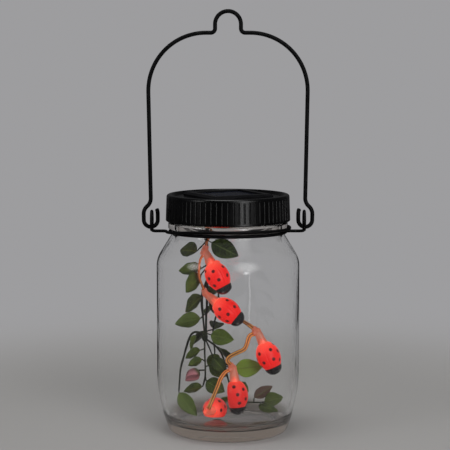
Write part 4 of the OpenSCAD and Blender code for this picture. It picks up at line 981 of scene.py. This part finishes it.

# %% [markdown]
# A leaf is a blade that is widest before its middle, folded a little along its rib and bent
# down towards its tip. Two parameters describe it: t from stalk to tip and k from edge to
# edge. Each leaf stores them per point, so the finish can draw a rib and side veins that
# follow the blade, and each leaf gets a tone of its own. A tone above one is painted light.

# %% Leaves
def leaf_grid(f, tone, rows=18, cols=9):
    """Closed sheet. Top points are base + t L u + k half s + lift n. half is the width law
    sin(180 t^0.8)^0.8, and lift is the fold 0.28 |k| half, less the bend 0.12 L t^2, plus a
    ripple at the edge. The under side lies a little lower, less so at the edges."""
    base, az, droop, length, width, roll = np.array(f[1]) + LIFT, *f[2:7]
    u, roll = heading(az, droop), np.radians(roll)
    level = np.array([-np.sin(np.radians(az)), np.cos(np.radians(az)), 0])
    s = np.cos(roll) * level + np.sin(roll) * np.cross(u, level)
    n = np.cross(u, s)
    t = np.linspace(0, 1, rows)[:, None]
    k = np.concatenate([np.linspace(-1, 1, cols), np.linspace(1, -1, cols)])[None, :]
    under = np.repeat([0.0, 1.0], cols)[None, :]
    half = width / 2 * np.maximum(0.09 - 0.07 * t, np.sin(np.pi * t ** 0.8).clip(0) ** 0.8)
    ripple = 0.22 * np.sin(17 * t + 2.5 * k + 9 * tone) * k ** 2 * np.sin(np.pi * t)
    lift = 0.28 * (np.sqrt(k ** 2 + 0.01) - 0.1) * half - 0.12 * length * t ** 2 + ripple
    lift = lift - under * (0.12 + 0.25 * (1 - k ** 2))
    points = base + (t * length)[..., None] * u + (k * half)[..., None] * s + lift[..., None] * n
    ends = [np.repeat(points[i].mean(0)[None, None], 2 * cols, 1) for i in (0, -1)]
    points = np.concatenate([ends[0], points, ends[1]])
    marks = np.stack(np.broadcast_arrays(t, k, np.float64(tone)), -1)
    marks = np.concatenate([marks[:1], marks, marks[-1:]])
    return points * MM, marks.reshape(-1, 3)


def leaf_finish(name, dark, mid, vein, painted_light_green=(0.20, 0.36, 0.05), dry=(0.12, 0.062, 0.048)):
    """Blade colour by tone and blotches; veins where a line in (t, k) repeats along the rib.
    A tone above one is painted light, a brighter green for a leaf that faces away from the
    lamps, and a tone below zero is a dry, brown leaf."""
    finish = Finish(name, IOR=1.45, Specular_IOR_Level=0.16)
    t, k, tone = finish.split(finish.mark("blade"))
    side = abs((t * 8.0 - abs(k) * 1.5 + 4.0).maths("FRACT") - 0.5)
    rib = 1 - finish.ramp(abs(k), 0.03, 0.10)
    veins = rib.maths("MAXIMUM", (1 - finish.ramp(side, 0.03, 0.12)) * 0.45)
    blotch = finish.noise(260.0, 4.0, 0.6)
    pale = (tone * 0.75 + blotch * 1.2 - 0.5).maths("MINIMUM", 1.0).maths("MAXIMUM", 0.0)
    blade = finish.mix(pale, dark, mid)
    # Painted light: a tone above one turns the blade a brighter green.
    blade = finish.mix(finish.ramp(tone, 1.0, 1.5), blade, painted_light_green)
    blade = finish.mix(tone < 0.0, blade, finish.mix(blotch, dry, tuple(0.5 * c for c in dry)))
    finish.feed(Base_Color=finish.mix(veins * 0.6, blade, vein), Roughness=0.36 + 0.25 * blotch,
                Normal=finish.bump(veins * -0.6 + blotch * 0.4, 0.4, 0.0003))
    return finish


leaf_green = leaf_finish("leaf_green", (0.014, 0.021, 0.004), (0.100, 0.150, 0.020), (0.110, 0.150, 0.032))
leaf_mixed = leaf_finish("leaf_mixed", (0.016, 0.024, 0.005), (0.110, 0.165, 0.022), (0.120, 0.165, 0.036))
# One tone per leaf; a tone above one is painted light, one below zero a dry leaf.
TONES = [(0.2, 0.0, 0.75, 0.6), (0.05, 0.15, 0.65, 0.1), (0.7, 0.45, 0.35, 0.55, 0.1), (0.2, 0.25, 0.2, 0.75),
         (1.35, 0.5, 1.1, -0.5, 0.5, 0.2), (0.15, 0.3, 0.1, 0.05, 0.2, 0.3)]
for i, spray in enumerate(SPRAYS):
    made = [leaf_grid(f, tone) for f, tone in zip(spray, TONES[i])]
    marks = {"blade": np.concatenate([m for _, m in made])}
    piece = mesh_piece(f"leaf_spray_{i + 1}", [g for g, _ in made], marks=marks)
    finish, slot_name = (leaf_mixed, "leaf_brown") if i == 4 else (leaf_green, "leaf_green")
    dress(piece, finish, "lid", [f"vine_leaves_{i + 1}"])

# %% [markdown]
# Two buds end the vine: a pink one and a tiny pale one. The pale one's colour is a painted
# highlight: it stands for a white glint at the top of the fourth sleeve. A bud is petals
# wrapped round each other, so the outline of a drop gets folds that wind up to its tip.

# %% Buds
def bud_grid(b, rows=40, cols=90):
    """Drop outline R sin(180 t^0.75)^0.8 over its length 2.6 R. The fold takes up to 0.16 of
    the radius off, as a saw-tooth of five times the angle, in turns, plus 1.6 t."""
    base, size = np.array(b[1]) + LIFT, 4.0 * b[4]
    d = heading(b[2], b[3])
    side = unit(np.cross(d, [0, 0, 1]))
    up = np.cross(side, d)
    t = np.linspace(0, 1, rows)[:, None]
    a = circle(cols)[None, :]
    saw = (5 * a / (2 * np.pi) + 1.6 * t) % 1.0
    r = size * np.sin(np.pi * t ** 0.75).clip(0) ** 0.8 * (1 - 0.16 * saw * ease(t, 0.02, 0.25))
    out = (r * np.cos(a))[..., None] * side + (r * np.sin(a))[..., None] * up
    points = base + (2.6 * size * t)[..., None] * d + out
    return points * MM, np.stack(np.broadcast_arrays(saw, t, np.float64(b[4])), -1).reshape(-1, 3)


made = [bud_grid(b) for b in BUDS]
marks = {"petal": np.concatenate([m for _, m in made])}
buds = mesh_piece("petal_buds", [g for g, _ in made], marks=marks, smooth_angle=45)
petal = Finish("folded_petals", Roughness=0.5)
saw, t, size = petal.split(petal.mark("petal"))
pink = petal.mix(petal.ramp(saw, 0.1, 1.0), (0.16, 0.045, 0.055), (0.42, 0.15, 0.17))
ripe = petal.mix(petal.ramp(t, 0.35, 0.1), pink, (0.05, 0.06, 0.02))
# Painted highlight: the tiny bud, size below 0.5, is pale where a white glint of the fourth lamp falls.
petal.feed(Base_Color=petal.mix(size < 0.5, ripe, (0.70, 0.68, 0.55)),
           Normal=petal.bump(petal.noise(700.0), 0.2, 0.0003))
dress(buds, petal, "lid", ["vine_buds"])

# %% [markdown]
# The lantern stands on a wide sheet of plain grey paper. Near the jar the lamps light the
# paper, so it keeps the shadow and the red glow. Farther out it fades to one even grey that
# the world shows too, so no edge or horizon is seen from any side. What a shiny surface
# mirrors is darker, like the unlit part of a room.

# %% Grey paper
EVEN_GREY = (0.338, 0.336, 0.345)
u = np.linspace(-3, 3, 9)
sheet = mesh_piece("paper_sheet", [np.stack([*np.meshgrid(u, u), np.zeros((9, 9))], -1)], closed=False)
paper = Finish("grey_paper", Roughness=0.9)
x, y, _ = paper.split()
away = (x * x + y * y) ** 0.5
fibre = paper.noise(900.0)
grey = paper.mix(paper.ramp(away, 0.05, 0.5), (0.300, 0.293, 0.284), EVEN_GREY)
paper.feed(Base_Color=paper.mix(fibre * 0.06, (0.365, 0.358, 0.350), (0.2, 0.2, 0.2)),
           Normal=paper.bump(fibre, 0.05, 0.0003))
through_glass = paper.ray("Transmission")
mirrored = paper.ray("Glossy") * (1 - through_glass)
seen = paper.ray("Camera").maths("MAXIMUM", through_glass)
even = seen * paper.ramp(away, 0.1, 0.4) + mirrored * paper.ramp(away, 0.06, 0.2)
paper.blend(even, "ShaderNodeEmission", paper.mix(mirrored * 0.85, grey, (0, 0, 0)))
sheet.data.materials.append(paper.material)

# %% [markdown]
# A large softbox to the right of the camera is the main light, with a wide one overhead for
# the lid's top and a weak one at the left. Glass shows what it mirrors, so a tall strip and a
# small window stand close to the jar, too dim to light anything: they draw the bright line
# and the patch on its shoulder. A dim grey world fills the rest.

# %% Lamps and world
from mathutils import Vector


def softbox(name, place, aim, width, height, watts):
    """Lamp behind a cloth, so that a mirrored rim isn't hard: the cloth is 1.8 times as bright
    near its middle and fades to nothing at its rim, by a smooth step of the distance."""
    lamp = bpy.data.lights.new(name, "AREA")
    lamp.shape, lamp.size, lamp.size_y, lamp.energy, lamp.use_nodes = "ELLIPSE", width, height, watts, True
    nodes = Nodes(lamp.node_tree)
    across = nodes.add("ShaderNodeNewGeometry", out="Parametric")
    offset = nodes.add("ShaderNodeVectorMath", {"operation": "SUBTRACT"}, {0: across, 1: (0.5, 0.5, 0)})
    distance = nodes.add("ShaderNodeVectorMath", {"operation": "LENGTH"}, {0: offset}, out="Value")
    cloth = nodes.ramp(distance, 0.5, 0.1) * 1.8
    nodes.tree.links.new(cloth.socket, nodes.tree.nodes["Emission"].inputs["Strength"])
    holder = bpy.data.objects.new(name, lamp)
    holder.visible_transmission = False
    holder.location = place
    holder.rotation_euler = (Vector(aim) - Vector(place)).to_track_quat("-Z", "Y").to_euler()
    bpy.context.scene.collection.objects.link(holder)


softbox("key_softbox", (0.60, -1.02, 0.62), (0, 0, 0.1), 1.25, 1.6, 13.0)
softbox("overhead_softbox", (-0.1, -0.1, 1.5), (0, 0, 0), 1.4, 1.2, 15.0)
softbox("side_fill", (-1.1, -0.7, 0.6), (0, 0, 0.1), 0.8, 1.0, 6.0)
softbox("strip_lamp", (0.27, -0.40, 0.06), (0, 0, 0.06), 0.035, 0.5, 0.06)
softbox("small_window", (0.235, -0.445, 0.10), (0, 0, 0.1), 0.13, 0.15, 0.2)
world = bpy.data.worlds.new("dim_room")
world.use_nodes = True
room = Nodes(world.node_tree)
seen = room.ray("Camera").maths("MAXIMUM", room.ray("Transmission"))
tint = room.mix(seen, (0.06, 0.06, 0.062), EVEN_GREY)
room.tree.links.new(tint.socket, room.tree.nodes["Background"].inputs[0])
bpy.context.scene.world = world
